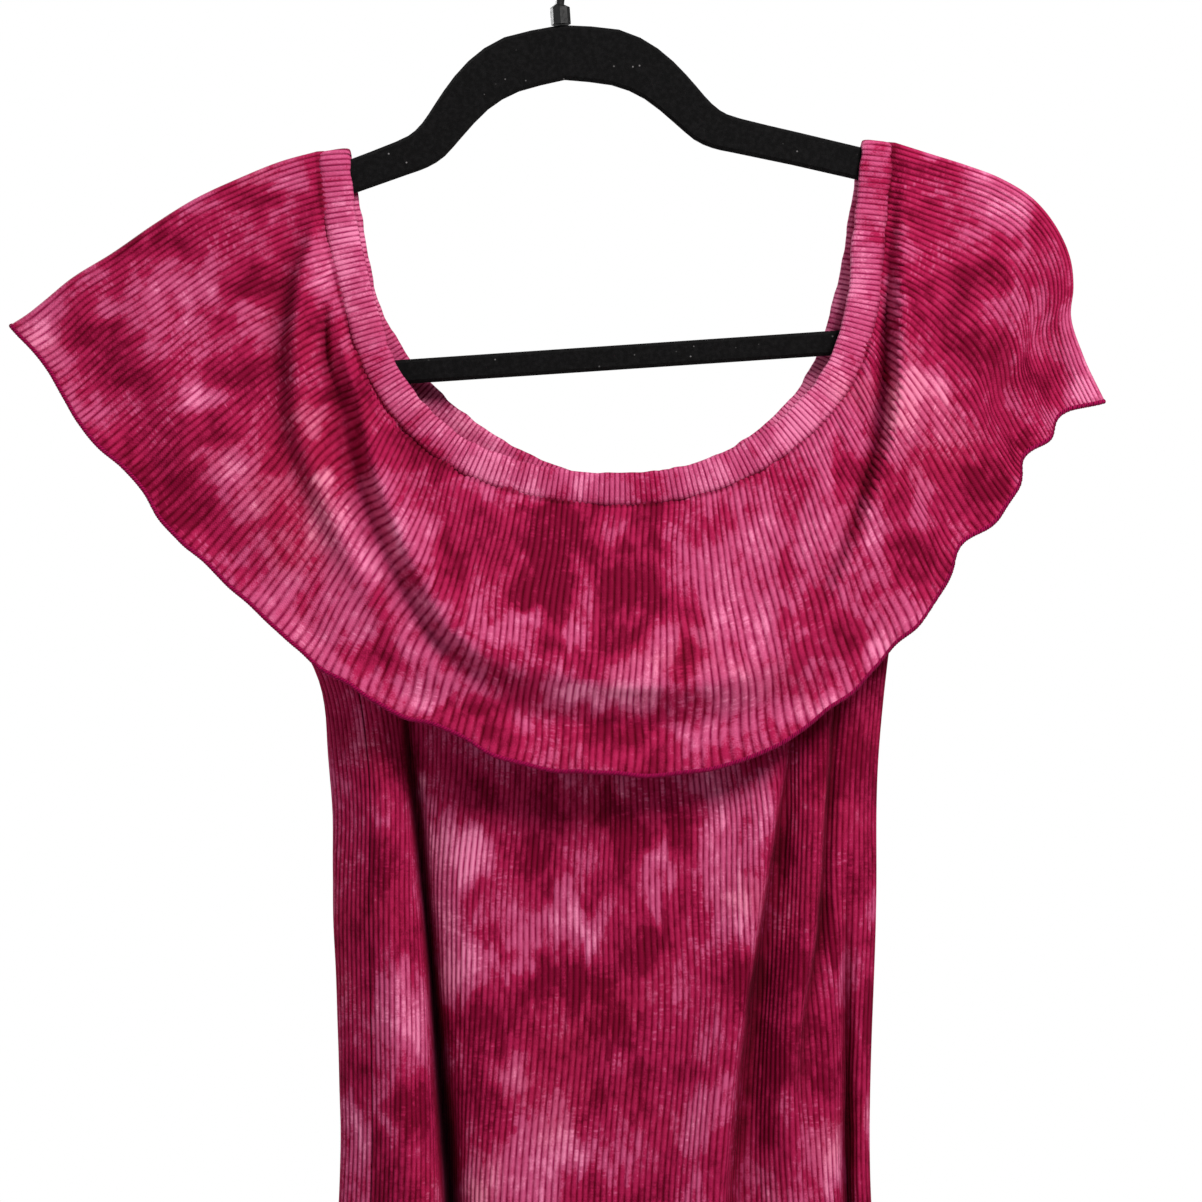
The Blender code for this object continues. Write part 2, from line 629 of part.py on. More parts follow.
def build_flounce(side, material):
    shares = flounce_shares()
    parts = np.asarray(FLOUNCE_ROWS)
    outer = flounce_point(side, shares, parts)
    nudge = 0.0015
    ahead = flounce_point(side, np.clip(shares + nudge, 0.0, 1.0), parts)
    behind = flounce_point(side, np.clip(shares - nudge, 0.0, 1.0), parts)
    below = flounce_point(side, shares, np.clip(parts + 0.01, 0.0, 1.0))
    above = flounce_point(side, shares, np.clip(parts - 0.01, 0.0, 1.0))
    normals = np.cross(ahead - behind, below - above)
    normals /= np.linalg.norm(normals, axis=-1, keepdims=True)
    facing = -1.0 if side == "front" else 1.0
    middle = normals[:, len(shares) // 2]
    if middle[:, 1].mean() * facing < 0.0:
        normals = -normals
    for column in (0, -1):
        normals[:, column, 1] = 0.0
        normals[:, column] /= np.linalg.norm(normals[:, column], axis=-1, keepdims=True)
    return ribbed_wall("flounce_" + side, outer, normals, WALL, material)


# Body
def body_section(drop):
    """Front and back halves of the body's outline at one level, both from left to right."""
    table = np.asarray(BODY_SECTIONS)
    left, right, depth, seam = hermite(table[:, 0], table[:, 1:], drop)
    turn = np.linspace(0.0, math.pi, 721)
    power = 2.0 / BODY_SQUARENESS
    reach = -np.sign(np.cos(turn)) * np.abs(np.cos(turn)) ** power
    x = (left + right) / 2.0 + (right - left) / 2.0 * reach
    base = depth * np.sin(turn) ** power
    fade = 1.0 - np.abs(reach) ** EDGE_FADE
    halves = {}
    for side, facing in (("front", -1.0), ("back", 1.0)):
        raised = np.zeros_like(x)
        for rows in BODY_FOLDS[side]:
            fold = np.asarray(rows, float)
            at, height, left_width, right_width = hermite(fold[:, 0], fold[:, 1:], drop)
            height *= smoothstep((drop - fold[0, 0]) / FOLD_ONSET + 0.8)
            width = np.where(x < at, left_width, right_width)
            raised += height * np.exp(-(((x - at) / width) ** 2))
        halves[side] = np.stack([x, facing * (base + raised * fade)], axis=-1)
    return halves, seam


def body_loop(side, drop):
    """Outline of one panel at one level, from its left seam to its right seam."""
    halves, seam = body_section(drop)
    front = halves["front"]
    start = np.array([[seam, np.interp(seam, front[:, 0], front[:, 1])]])
    if side == "front":
        return np.concatenate([start, front[front[:, 0] > seam]])
    lap = front[front[:, 0] < seam][::-1]
    return np.concatenate([start, lap, halves["back"][1:]])


def body_row(side, shares, drop):
    """Points of one level of a panel, evenly spread between its two seams."""
    loop = body_loop(side, drop)
    steps = np.linalg.norm(np.diff(loop, axis=0), axis=1)
    reach = np.concatenate([[0.0], np.cumsum(steps)])
    inset = SEAM_GAP / 2.0
    place = inset + shares * (reach[-1] - 2.0 * inset)
    x = np.interp(place, reach, loop[:, 0])
    y = np.interp(place, reach, loop[:, 1])
    return np.stack([x, y, np.full_like(x, -drop)], axis=-1)


def body_point(side, shares, level):
    """One row of a panel: level 0 to 1 from the casing to the underarm, then the drop."""
    if level >= 1.0:
        return body_row(side, shares, level)
    seam = Line(CASING_SEAM[side])
    along = ARMHOLE[0] + (ARMHOLE[1] - ARMHOLE[0]) * shares
    edge = seam.at(along) - seam.inward(along) * SEAM_GAP
    down = np.minimum(along, 1.0 - along) * seam.length
    facing = -1.0 if side == "front" else 1.0
    depth = facing * (casing_depth(down) - BODY_SEAT)
    low = body_row(side, shares, BODY_DROPS[0])
    x = edge[:, 0] + (low[:, 0] - edge[:, 0]) * level
    z = edge[:, 1] + (low[:, 2] - edge[:, 1]) * level
    y = depth + (low[:, 1] - depth) * level ** 3
    return np.stack([x, y, z], axis=-1)


def build_body(side, material):
    shares = np.linspace(0.0, 1.0, 2 * BODY_RIBS[side] + 1)
    levels = BODY_TOP_ROWS + BODY_DROPS
    outer = np.array([body_point(side, shares, level) for level in levels])
    nudge = 0.002
    ahead = np.array([
        body_point(side, np.clip(shares + nudge, 0.0, 1.0), level) for level in levels
    ])
    behind = np.array([
        body_point(side, np.clip(shares - nudge, 0.0, 1.0), level) for level in levels
    ])
    down = np.gradient(outer, axis=0)
    normals = np.cross(ahead - behind, down)
    normals /= np.linalg.norm(normals, axis=-1, keepdims=True)
    facing = -1.0 if side == "front" else 1.0
    if normals[:, len(shares) // 2, 1].mean() * facing < 0.0:
        normals = -normals
    return ribbed_wall("body_" + side, outer, normals, WALL, material)


def main():
    clear_scene()
    flock = finish("hanger_flock", COLOURS["flock"], 0.95)
    steel = finish("hook_black", COLOURS["hook"], 0.35, metallic=0.6)
    build_hanger(flock)
    build_hook(steel)
    build_casing(finish("casing_knit", COLOURS["casing"], 0.8))
    for side in ("front", "back"):
        build_flounce(side, finish("flounce_knit_" + side, COLOURS["knit"], 0.8))
        build_body(side, finish("body_knit_" + side, COLOURS["knit"], 0.8))


main()
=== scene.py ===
"""An off-shoulder a-line dress of tie-dyed rib knit, hung on a flocked hanger.

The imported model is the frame. Its cloth is replaced by finer shells of the same form, with
every rib, sewn edges and a dyed, grooved knit; the hanger and its hook keep their shape and
get their finish here. Lengths in the tables are millimetres, and the front faces -Y.
"""
import math

import bpy
import numpy as np
from bpy.props import FloatProperty, FloatVectorProperty, IntProperty, PointerProperty
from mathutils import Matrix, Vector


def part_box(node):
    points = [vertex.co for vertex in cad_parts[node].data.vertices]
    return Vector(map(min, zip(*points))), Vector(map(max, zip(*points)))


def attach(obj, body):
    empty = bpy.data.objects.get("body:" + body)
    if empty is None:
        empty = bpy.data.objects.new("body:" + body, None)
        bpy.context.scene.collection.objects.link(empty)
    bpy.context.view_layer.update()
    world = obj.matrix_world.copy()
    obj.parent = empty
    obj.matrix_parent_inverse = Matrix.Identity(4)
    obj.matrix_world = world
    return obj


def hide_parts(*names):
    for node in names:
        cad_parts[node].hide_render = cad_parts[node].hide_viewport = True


bl_info = {
    "name": "Rib Knit Dress",
    "version": (1, 0, 0),
    "blender": (4, 5, 0),
    "location": "View3D > Sidebar > Dress",
    "description": "Dresses the packed off-shoulder dress in ribbed, tie-dyed knit",
    "category": "Object",
}

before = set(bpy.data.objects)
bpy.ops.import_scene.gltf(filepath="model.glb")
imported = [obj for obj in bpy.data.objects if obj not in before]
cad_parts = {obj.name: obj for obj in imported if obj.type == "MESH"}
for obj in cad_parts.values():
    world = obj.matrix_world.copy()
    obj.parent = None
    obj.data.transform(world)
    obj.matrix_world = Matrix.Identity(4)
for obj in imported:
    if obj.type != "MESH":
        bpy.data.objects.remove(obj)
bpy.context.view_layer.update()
HEM_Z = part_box("body_front")[0].z
MM = 0.001
FACING = {"front": -1.0, "back": 1.0}

# The photograph's scale: pixels to a millimetre, the pixel of the hook's inner top, its width
PHOTO_SCALE = 2.21
PHOTO_AXIS = (550.0, -138.5)
PHOTO_WIDTH = 1202.0

# Neck: radius of the roll over the hanger, depth of the neck, and where it spreads to that
ROLL_RADIUS = 6.5
NECK_DEPTH = 16.0
SPREAD_START = 15.0
SPREAD_LENGTH = 150.0
NECK_CENTRE = (25.0, -200.0)

# Casing: its section and its powers, spare half width, puckers' pitch in ribs, and their size
CASING_WIDTH = 14.5
CASING_THICK = 3.4
CASING_POWERS = (0.75, 0.65)
CASING_SPARE = 0.1
CASING_PUCKER_RIBS = 2.3
CASING_STILL = 0.02
CASING_SWELL = (0.45, 0.4)
CASING_SEEDS = {"front": 41, "back": 43}
# Painted shade along the casing's lower edge: where it starts round the section, its strength, and how
# much the puckers vary it
CASING_SHADE = (0.55, 1.6, 0.7)

# Gaps and seats that keep the shells clear of each other
SEAM_GAP = 0.3
BODY_INSET = 0.02
FOLD_GAP = 0.03
FLOUNCE_SEAT = 0.15
BODY_SEAT = 2.05

# Form of the flounce: share that follows each shoulder fold, fall, belly and flip of the hem
FOLD_REACH = {"left": 0.30, "right": 0.22}
FALL_POWER = 0.85
BELLY = 6.0
HEM_FLIP = 3.0
FLIP_START = 0.9
SHOULDER_HUG = 55.0
FOLD_START = 0.05
FOLD_CLEAR = 24.0

# Waves along the hem, in its plane and out of it: size, number, where they start, seed
SCALLOP = {"size": 1.3, "waves": 46.0, "reach": 0.05, "seed": 29}
RIPPLE = {"size": 2.2, "waves": 42.0, "start": 0.8, "reach": 0.2, "seed": 21}

# Form of the body: its squareness, how folds fade at the sides and begin, and the armholes
BODY_SQUARENESS = 2.5
EDGE_FADE = 14
FOLD_ONSET = 50.0
FOLD_GIVEN = 0.8
ARMHOLE = (0.17, 0.83)
UNDERARM = 348.0
SIDE_ROLL = (0.15, 0.8)

# Fineness of the shells: columns to a rib, rows of each panel, points of lines and outlines
RIB_COLUMNS = 3
FLOUNCE_ROWS = 84
BODY_ROWS = (12, 124)
CASING_PROFILE = 18
FOLD_EDGE = (0.0003, 0.0008, 0.0023, 0.0031, 0.0052)
LINE_POINTS = 1200
EDGE_POINTS = 90
FOLD_POINTS = 60
DRAG_POINTS = 240
OUTLINE_POINTS = 1441
# Depth of a crease in millimetres that gives 1 in its painted shade mask
CREASE_FULL = 7.0

# Sewn edge: length of one loop, step, sides, height to width, and swell of each loop
THREAD_PITCH = 1.3
THREAD_STEP = 0.36
THREAD_SIDES = 8
THREAD_TALL = 1.15
THREAD_SWELL = (0.86, 0.22)

# Cut of the pieces: lengths of the panels in millimetres
FLOUNCE_DROP = 128.0
BODY_DROP = 790.0

# Drift of the ribs: ribs to a cell, share of the rows, weight; then rows, reach in ribs, fade
DRIFT = ((7.0, 1.0, 1.0), (1.9, 0.6, 0.5))
DRIFT_ROWS = 5.5
DRIFT_REACH = 0.4
DRIFT_FADE = 0.3
DRIFT_SEEDS = {"flounce": {"front": 3, "back": 9}, "body": {"front": 13, "back": 17}}

# Rumples of the cloth: height, width, length, seed, and 1 where they grow towards the hem
RUMPLES = {
    "flounce": ((0.55, 13.0, 17.0, 31, 0), (0.9, 15.0, 42.0, 33, 1)),
    "body": ((0.5, 15.0, 24.0, 37, 0),),
}
EDGE_STILL = {"flounce": 0.03, "body": 4.0}

# Seam under the casing: how far the panels run up behind it, how it is pressed in, the painted shade
# along it, its puckers
TUCK = 3.0
TUCK_DEPTH = 0.5
SEAM_PRESS = (0.9, 0.035)
SEAM_SHADE = (0.55, 0.35)
PUCKER = {"size": 0.7, "ribs": 3.1, "reach": 0.05, "seed": 35}

# Dye: names of its tones, and the tones at which each passes to the next
DYE_LABELS = ("Pale", "Pink", "Magenta", "Deep")
DYE_STEPS = ((0.06, 0.36), (0.38, 0.64), (0.64, 0.98))
DYE_BASE = {"flounce": 0.56, "casing": 0.27, "body": 0.68}
DYE_SEEDS = {"flounce": {"front": 50, "back": 70}, "body": {"front": 90, "back": 110}}

# Clouds of the dye: size and change of tone, then their place and their height to width
DYE_CLOUDS = ((40.0, 0.18), (15.0, 0.18), (6.5, 0.16))
CLOUD_PLACE = (30.0, 40.0)
CLOUD_TALL = 1.25
CLOUD_CELLS = 61

# Patches of the dye: strength of pale ones, softness of the edge, size, feather along the ribs
PALE_SHARE = 0.95
DYE_EDGE = 4.0
DYE_REACH = 1.05
DYE_FEATHER = {"flounce": 5.0, "casing": 3.0, "body": 9.0}
FEATHER_STEP = 0.77
FEATHER_LENGTH = 19.0
FEATHER_SEED = 5

# Patches of the sides that don't show: seed, from and to in pixels down, count; their sizes
HIDDEN_DYE = {
    "flounce": (5, 160.0, 740.0, 70), "skirt": (7, 1230.0, 2150.0, 90),
    "back": (11, 500.0, 2150.0, 150),
}
HIDDEN_ACROSS = (40.0, 1080.0)
HIDDEN_HALF = (6.0, 15.0)
HIDDEN_TALL = (0.6, 1.5)
HIDDEN_CHANGE = [-0.45, -0.32, 0.32, 0.42]

# Noise along the ribs: steps to a rib and to a millimetre, place, detail, roughness
RIB_NOISE = {
    "dashes": (7.3, 1.0, 0.0, 1.0, 0.55),
    "dash_areas": (0.11, 0.035, 4.0, 2.0, 0.55),
    "streaks": (0.9, 0.09, 0.0, 4.0, 0.62),
    "single_ribs": (3.7, 0.13, 2.0, 3.0, 0.55),
    # The last noise makes the painted shade in the grooves uneven along the ribs
    "wear_and_groove_shade": (0.6, 0.16, 7.0, 3.0, 0.55),
}

# How far each kind of noise shifts the tone of the dye, and the dashes lift it
TONE_SHIFTS = {"streaks": 0.44, "single_ribs": 0.5, "mottle": 0.3, "fibres": 0.5}
DASH_LIFT = 0.2

# Masks of the finishes: value from and to, and what they become; the crease and fold masks set painted
# shade in the creases and deep folds
MASKS = {
    "dashes": (0.45, 0.7), "dash_areas": (0.44, 0.66), "aged": (0.5, 0.72, 0.0, 0.5),
    "crease": (0.05, 1.1, 0.0, 0.85), "fold": (0.7, 2.3, 0.0, 0.97),
    "rib_roughness": (0.0, 1.0, 0.74, 0.92), "strand": (-1.0, 0.4),
    "flock_wear": (0.35, 0.75, 0.7, 1.6), "lint_area": (0.55, 0.64), "lint": (0.14, 0.05),
    "scuff": (0.58, 0.75), "wire_roughness": (0.3, 0.7, 0.24, 0.46),
}
# Painted shade in the rib grooves: width of the groove in ribs for each knit; then the power that
# shapes the ridge, the noise range that makes the groove shade uneven, and its least share
GROOVE_WIDTH = {"dyed_rib_knit": 0.68, "dyed_casing_knit": 0.7}
GROOVE_POWER = 2.4
GROOVE_SHADE_NOISE = (0.3, 0.62)
GROOVE_LEAST = 0.55

# Grain of the finishes: scale, detail, roughness; scale of the fibres, and of their mottling
GRAIN = {
    "aged": (13.0,), "lint": (120.0, 2.0), "scuff": (420.0, 5.0, 0.7), "floor": (6.0, 4.0),
}
FIBRE_SCALE = {"knit": 1500.0, "thread": 2600.0, "flock": 2400.0}
FIBRE_ROUGHNESS = 0.6
MOTTLE_SCALE = 0.2

# Relief: share of the ribs, the stitches and the fibres; then its depth in metres, strength
RELIEF = {"ridge": 0.7, "stitch": 0.16, "fibres": 0.14}
THREAD_FUZZ = 0.3
BUMPS = {
    "knit": (0.0006, 0.8), "thread": (0.0003, 1.0), "flock": (0.0004, 1.0), "wire": (0.0001, 0.4),
}

# Slant of the stitches and of the edging's turns, the painted shade between the edging's turns, and
# shades of the other finishes
STITCH_SLANT = 1.1
THREAD_SLANT = 3.0
THREAD_TURN_SHADE = 0.62
WIRE_BRIGHT = 3.0
FLOOR_DARK = 0.97
LINT_COLOUR = (0.42, 0.4, 0.4)
LINT_SCALE = 260.0
LINT_SHARE = 0.5

# Lights: name, place, width, power, colour
LIGHTS = (
    ("key", (0.72, -1.2, 0.8), 0.6, 34.0, (1.0, 0.98, 0.97)),
    ("fill", (-1.2, -1.4, -0.1), 1.4, 3.4, (0.97, 0.98, 1.0)),
    ("back", (-0.95, 1.25, 0.5), 0.9, 20.0, (1.0, 1.0, 1.0)),
)

# Lower edge of the neck casing, where both panels are sewn: x, z
CASING_SEAM = {
    "front": (
        (-105, -131.4), (-103.2, -153), (-92.6, -203), (-80.6, -236.8), (-47, -273), (-16.7, -285.7),
        (16.3, -291.3), (50.7, -290.6), (85, -281.2), (115.4, -261.8), (136.2, -237), (147.4, -206),
        (151.2, -170), (155.7, -127.4),
    ),
    "back": (
        (-105, -131.4), (-100.2, -160), (-90.6, -206), (-73.5, -236), (-46, -262), (-16, -280.5),
        (16.3, -291.3), (50, -290), (84, -280), (112, -261), (131.5, -235), (142, -205), (149.2, -168),
        (155.7, -127.4),
    ),
}

# Shoulder folds, from the casing out to the tips of the flounce: x, z
SHOULDER_FOLD = {
    "left": (
        (-105, -131.4), (-121.9, -136), (-140.9, -143.6), (-160, -152.5), (-179, -164.2),
        (-198.1, -177.4), (-217.1, -189.3), (-229, -199.2), (-236.6, -205.2), (-243.8, -209.8),
    ),
    "right": (
        (155.7, -127.4), (172, -132.6), (187.8, -137.6), (204, -143.8), (218.5, -153), (229, -166),
        (235.2, -180.5), (236.4, -193), (235.2, -204.5), (240.5, -222.5), (250.7, -244.2),
    ),
}

# Hem of the flounce from tip to tip: x, z
FLOUNCE_HEM = {
    "front": (
        (-243.8, -209.8), (-231, -223), (-205.4, -259), (-183, -282), (-170, -299.5), (-141.6, -328.3),
        (-115.4, -351.8), (-82.8, -374.9), (-45.2, -392.1), (-16.7, -404.3), (20, -410.4), (46, -411.6),
        (79.2, -405.7), (103.2, -396.6), (130.3, -376.7), (150.5, -358), (175.6, -326.5),
        (180.6, -313.5), (201.4, -295.2), (209.5, -283), (211, -272), (226.7, -260.5), (229, -252.5),
        (250.7, -244.2),
    ),
    "back": (
        (-243.8, -209.8), (-228, -221), (-204, -255), (-178, -283), (-150, -312), (-112, -346),
        (-78, -369), (-40, -389), (0, -402), (38, -407), (80, -400), (115, -384), (146, -356),
        (170, -326), (190, -298), (207, -271), (226, -251), (250.7, -244.2),
    ),
}

# Where the ribs meet the hem of the flounce: share along the seam, share along the hem
RIB_LANDING = (
    (0, 0), (0.2, 0.185), (0.3, 0.3), (0.428, 0.458), (0.544, 0.572), (0.677, 0.738), (0.727, 0.795),
    (0.837, 0.9), (1, 1),
)

# Ribs dragged along the left fold, a line of rows: x, z, drag, neck side, hem side
RIB_DRAG = (
    (-93.5, -203, 1, 8, 7), (-89.6, -224.7, 3, 12, 7), (-82.4, -250, 6, 16, 8),
    (-78.7, -266.3, 7.5, 19, 9), (-67, -298, 8.5, 22, 10), (-51.1, -328.3, 7, 22, 11),
    (-38, -350, 4, 20, 12), (-9, -366.7, 1, 20, 12),
)

# How far the hem of the flounce stands from the middle plane: share along it, depth
HEM_DEPTH = (
    (0, 10), (0.12, 18), (0.3, 36), (0.5, 46), (0.7, 37), (0.88, 19), (1, 10),
)

# Folds of the flounce, each a line of rows: x, z, height, neck side, hem side
FLOUNCE_FOLDS = {
    "front": (
        ((-105, -166, 3, 6, 7), (-110.6, -193, 7, 7, 8), (-111.4, -231, 9.5, 8, 9),
         (-109, -258, 9, 9, 10), (-100.6, -282, 8, 9, 11), (-88, -308, 7, 10, 12),
         (-72, -332, 4.5, 11, 14), (-50, -354, 3, 12, 13), (-12, -373, 1.5, 14, 12)),
        ((-93.5, -203, 2, 5, 4), (-89.6, -224.7, 5, 6, 5), (-82.4, -250, 8.5, 7, 5),
         (-78.7, -266.3, 10.5, 9, 5.5), (-67.5, -298, 12, 12, 6.5), (-52, -328.3, 11, 14, 7),
         (-38, -350, 8.5, 16, 7.5), (-9, -366.7, 5, 20, 8), (20, -374, 2, 20, 9)),
        ((156.5, -150, 3, 4.4, 12), (158, -175, 8, 4.4, 13), (157.5, -212, 11, 4.4, 14),
         (154.5, -254, 11, 4.8, 14), (142, -293.4, 9.5, 6, 15), (130.5, -322.9, 8, 8, 15),
         (118.6, -348.6, 6.5, 11, 15), (91.9, -370.4, 4.5, 12, 12), (60, -379, 2, 14, 12)),
        ((124, -268, 1, 9, 7), (122.2, -307.5, 3.5, 10, 7), (107.2, -345.5, 1.5, 12, 8)),
        ((-31.7, -354, 3, 22, 8), (22.6, -368, 7.5, 24, 7.5), (67.9, -369, 7.5, 22, 7.5),
         (104, -356, 3, 16, 8)),
        ((-40, -377, -2, 8, 8), (-8, -386, -4.5, 8, 8), (27, -390, -5, 8, 8), (72, -387.5, -3.5, 8, 8),
         (104, -377, -1, 8, 8)),
        ((-190, -186, 1.5, 14, 16), (-172, -232, 4, 16, 18), (-142, -276, 3, 18, 18),
         (-112, -312, 1, 16, 16)),
        ((188, -172, 1.5, 14, 16), (196, -212, 4, 15, 12), (188, -256, 3, 14, 14),
         (168, -300, 1, 14, 14)),
        ((219.5, -192, -1, 8, 7), (226, -212, -4, 9, 7), (233, -238, -3, 9, 8)),
    ),
    "back": (
        ((-101, -165, 2, 7, 14), (-113, -212, 6, 9, 18), (-107, -262, 7, 10, 20),
         (-84, -312, 5, 12, 18), (-50, -345, 2.5, 14, 14)),
        ((154, -166, 2, 5, 14), (157, -205, 7, 7, 20), (151, -256, 7.5, 8, 20), (128, -316, 5, 10, 18),
         (92, -354, 2.5, 13, 14)),
        ((-30, -349, 2, 18, 10), (22, -369, 4.5, 20, 10), (78, -362, 2, 18, 10)),
        ((-184, -184, 1, 14, 16), (-166, -238, 3.5, 17, 17), (-132, -286, 2, 16, 16)),
        ((192, -176, 1, 14, 16), (194, -224, 4, 15, 15), (176, -278, 2, 14, 14)),
    ),
}

# Outline of the body: drop below the hook, left x, right x, half depth, left seam x
BODY_SECTIONS = (
    (348, -115, 154, 20, -94), (372, -103.5, 151, 22, -86), (405, -99.5, 148, 24, -81),
    (470, -97.3, 147, 26, -80.5), (607, -95, 144.8, 28, -80), (700, -104, 154, 31, -88),
    (860, -135, 185, 36, -112), (1035, -172, 222, 42, -140),
)

# Folds of the body, each a line of rows: drop, x, height, left width, right width
BODY_FOLDS = {
    "front": (
        ((372, -78, 7.5, 15, 7), (432, -74, 9, 15, 7), (510, -68.5, 10, 17, 7), (607, -62, 11, 19, 8),
         (760, -68, 13, 26, 13), (1035, -92, 15, 32, 22)),
        ((372, -62.5, -7, 4.5, 9), (432, -57.5, -8.5, 4.5, 10), (510, -50.5, -10, 5.5, 11),
         (607, -42.5, -11, 7, 13), (760, -36, -11, 14, 18), (1035, -38, -11, 22, 26)),
        ((400, -2, -1, 24, 24), (475, -6, -5, 20, 24), (540, -2, -3, 22, 26), (660, 14, 3, 26, 24),
         (820, 14, 9, 26, 24), (1035, 12, 13, 30, 28)),
        ((385, 107, 5, 12, 5), (435, 98, 8, 13, 5), (490, 88.5, 9.5, 14, 5.5), (546, 79.5, 10, 16, 7),
         (607, 73.5, 9.5, 18, 9), (760, 74, 10, 20, 16), (1035, 82, 12, 26, 24)),
        ((450, 108, -1, 7, 7), (529, 93, -5, 7, 8), (607, 91, -7, 9, 9), (760, 106, -9, 14, 14),
         (1035, 122, -11, 22, 20)),
        ((380, 125.5, 7, 9, 4.5), (435, 120, 8.5, 9, 4.5), (490, 115.8, 8.5, 8, 5),
         (528, 109.5, 7, 8, 6.5), (607, 113, 5, 9, 9), (760, 130, 7, 14, 12), (1035, 160, 11, 20, 16)),
        ((480, 134, -1.5, 5, 4.5), (520, 134.6, -6, 5.5, 4.5), (607, 134.6, -7, 6, 5),
         (760, 149, -6, 9, 8), (1035, 190, -6, 12, 10)),
    ),
    "back": (
        ((372, 96, 4, 12, 10), (520, 88, 8, 15, 10), (760, 96, 11, 22, 16), (1035, 118, 14, 30, 24)),
        ((420, 70, -3, 10, 8), (560, 62, -8, 12, 9), (780, 58, -10, 18, 16), (1035, 62, -11, 24, 22)),
        ((380, 24, 2, 22, 20), (560, 20, 5, 22, 20), (800, 16, 9, 24, 24), (1035, 12, 13, 28, 28)),
        ((400, -28, -2, 10, 12), (560, -30, -7, 10, 14), (780, -34, -10, 16, 18),
         (1035, -40, -11, 24, 24)),
        ((372, -58, 4, 12, 10), (520, -54, 8, 14, 9), (760, -66, 11, 20, 16), (1035, -94, 14, 28, 24)),
    ),
}

# Sharper creases of the flounce, each a line of rows: x, z, depth, neck side, hem side
FLOUNCE_CREASES = {
    "front": (
        ((-107.5, -164, 1.5, 3, 6), (-114.8, -183, 4, 3.5, 10), (-118.2, -200, 5, 3.5, 11),
         (-119.5, -231.2, 4.5, 3.6, 10), (-118, -256.6, 3.6, 3.8, 9), (-112, -278, 3.4, 4.2, 9),
         (-100, -305, 2.6, 5, 10), (-85, -334, 1, 5, 9)),
        ((-101.2, -203, 2, 1.6, 1.8), (-101, -214, 6, 1.8, 2), (-100.2, -227, 5, 2, 2.6),
         (-97, -242, 1.5, 2.8, 3.2)),
        ((-99, -226, 2, 4, 4), (-95.6, -246, 4.5, 5, 4.5), (-90.7, -266.7, 5.5, 5.5, 5),
         (-86, -284, 5.8, 6, 6), (-78.5, -304, 5.8, 6, 7), (-67.5, -327.7, 5.8, 6, 8),
         (-53.5, -348, 5, 5.5, 8), (-38.5, -361, 3, 6, 8), (-18, -374, 1, 7, 7)),
        ((-84, -215, 1, 4, 3), (-76.5, -240, 2.5, 6, 3.5), (-65, -271, 3, 8, 4),
         (-50, -300, 2.5, 8, 4.5), (-36, -328, 1, 8, 5)),
        ((149.5, -160, 2, 3.2, 2.6), (151.6, -196, 6, 3.8, 2.8), (151.4, -228, 8, 4.2, 2.9),
         (147.8, -257, 8, 4.6, 3), (137.4, -295, 6.5, 5, 3.4), (127, -320, 4.5, 6, 3.8),
         (113, -345, 1.5, 8, 4)),
        ((60, -334, 0.6, 2.2, 2.2), (64, -352, 1.8, 2.4, 2.8), (57, -374, 0.6, 2.4, 2.4)),
        ((134, -236, 1.2, 2, 2.2), (139, -250, 1.8, 2.4, 2.4), (138, -268, 0.6, 2.6, 2.6)),
        ((127, -250, 1, 2, 2.2), (130, -266, 1.4, 2.4, 2.4), (126, -284, 0.5, 2.6, 2.6)),
        ((206, -178, 0.8, 4, 3), (193, -192, 2.6, 5, 3.4), (182, -206, 3, 5, 3.6),
         (170, -227, 1, 5, 4)),
        ((205.5, -190, 0.8, 6, 4), (205.5, -218, 3.4, 7, 4.4), (207, -244, 3.6, 7, 4.4),
         (208, -266, 1.5, 6, 4)),
        ((-160, -236, 0.4, 5, 5), (-150, -262, 1.2, 6, 5), (-130, -290, 0.4, 6, 5)),
    ),
    "back": (
        ((-112, -176, 1, 3, 6), (-117, -214, 4, 3, 8), (-111, -262, 4, 3.5, 9), (-92, -308, 1.5, 4, 9)),
        ((150, -170, 1, 5, 2.5), (152, -205, 4, 7, 2.6), (145, -256, 4, 8, 3), (124, -310, 1.5, 9, 4)),
        ((-82, -232, 1, 4, 4), (-70, -268, 2.5, 6, 4.5), (-44, -308, 1, 8, 5)),
        ((118, -262, 1, 4, 4), (104, -300, 2, 6, 4.5), (84, -330, 0.8, 8, 5)),
    ),
}

# Sharper creases of the body, each a line of rows: drop, x, depth, left width, right width
BODY_CREASES = {
    "front": (
        ((360, -66.5, 4, 1.6, 3), (385, -65.6, 8, 1.6, 3), (432, -60.6, 12, 1.7, 3.6),
         (510, -53.6, 15, 2, 4.6), (607, -46.4, 18, 2.4, 6.6), (760, -42, 13, 7, 10),
         (1035, -46, 6, 14, 14)),
        ((370, 111.5, 4, 1.8, 4), (435, 102.5, 8, 2, 6), (490, 93.5, 9, 2.2, 8), (546, 85.5, 8, 2.8, 9),
         (607, 81, 6, 3.4, 10), (760, 84, 2, 6, 10)),
        ((370, 128, 6, 1.5, 3.4), (435, 123.4, 9, 1.7, 4), (490, 119.2, 8, 1.9, 4.6),
         (528, 113.4, 5, 2.4, 5), (600, 116, 1.5, 4, 6)),
        ((470, 133.2, 3, 2.4, 2.6), (545, 133.8, 9, 2.8, 3), (607, 134.4, 12, 3.2, 3.4),
         (760, 149, 5, 5, 5), (1000, 186, 1, 8, 8)),
        ((700, 30, 1, 5, 7), (860, 44, 4, 7, 9), (1035, 50, 6, 10, 12)),
    ),
    "back": (
        ((400, 74, 2, 3, 5), (560, 66, 6, 3.4, 7), (780, 62, 6, 7, 10), (1035, 66, 4, 12, 14)),
        ((420, -26, 2, 4, 3), (560, -28, 6, 6, 3.4), (780, -32, 6, 9, 7), (1035, -38, 4, 12, 12)),
    ),
}
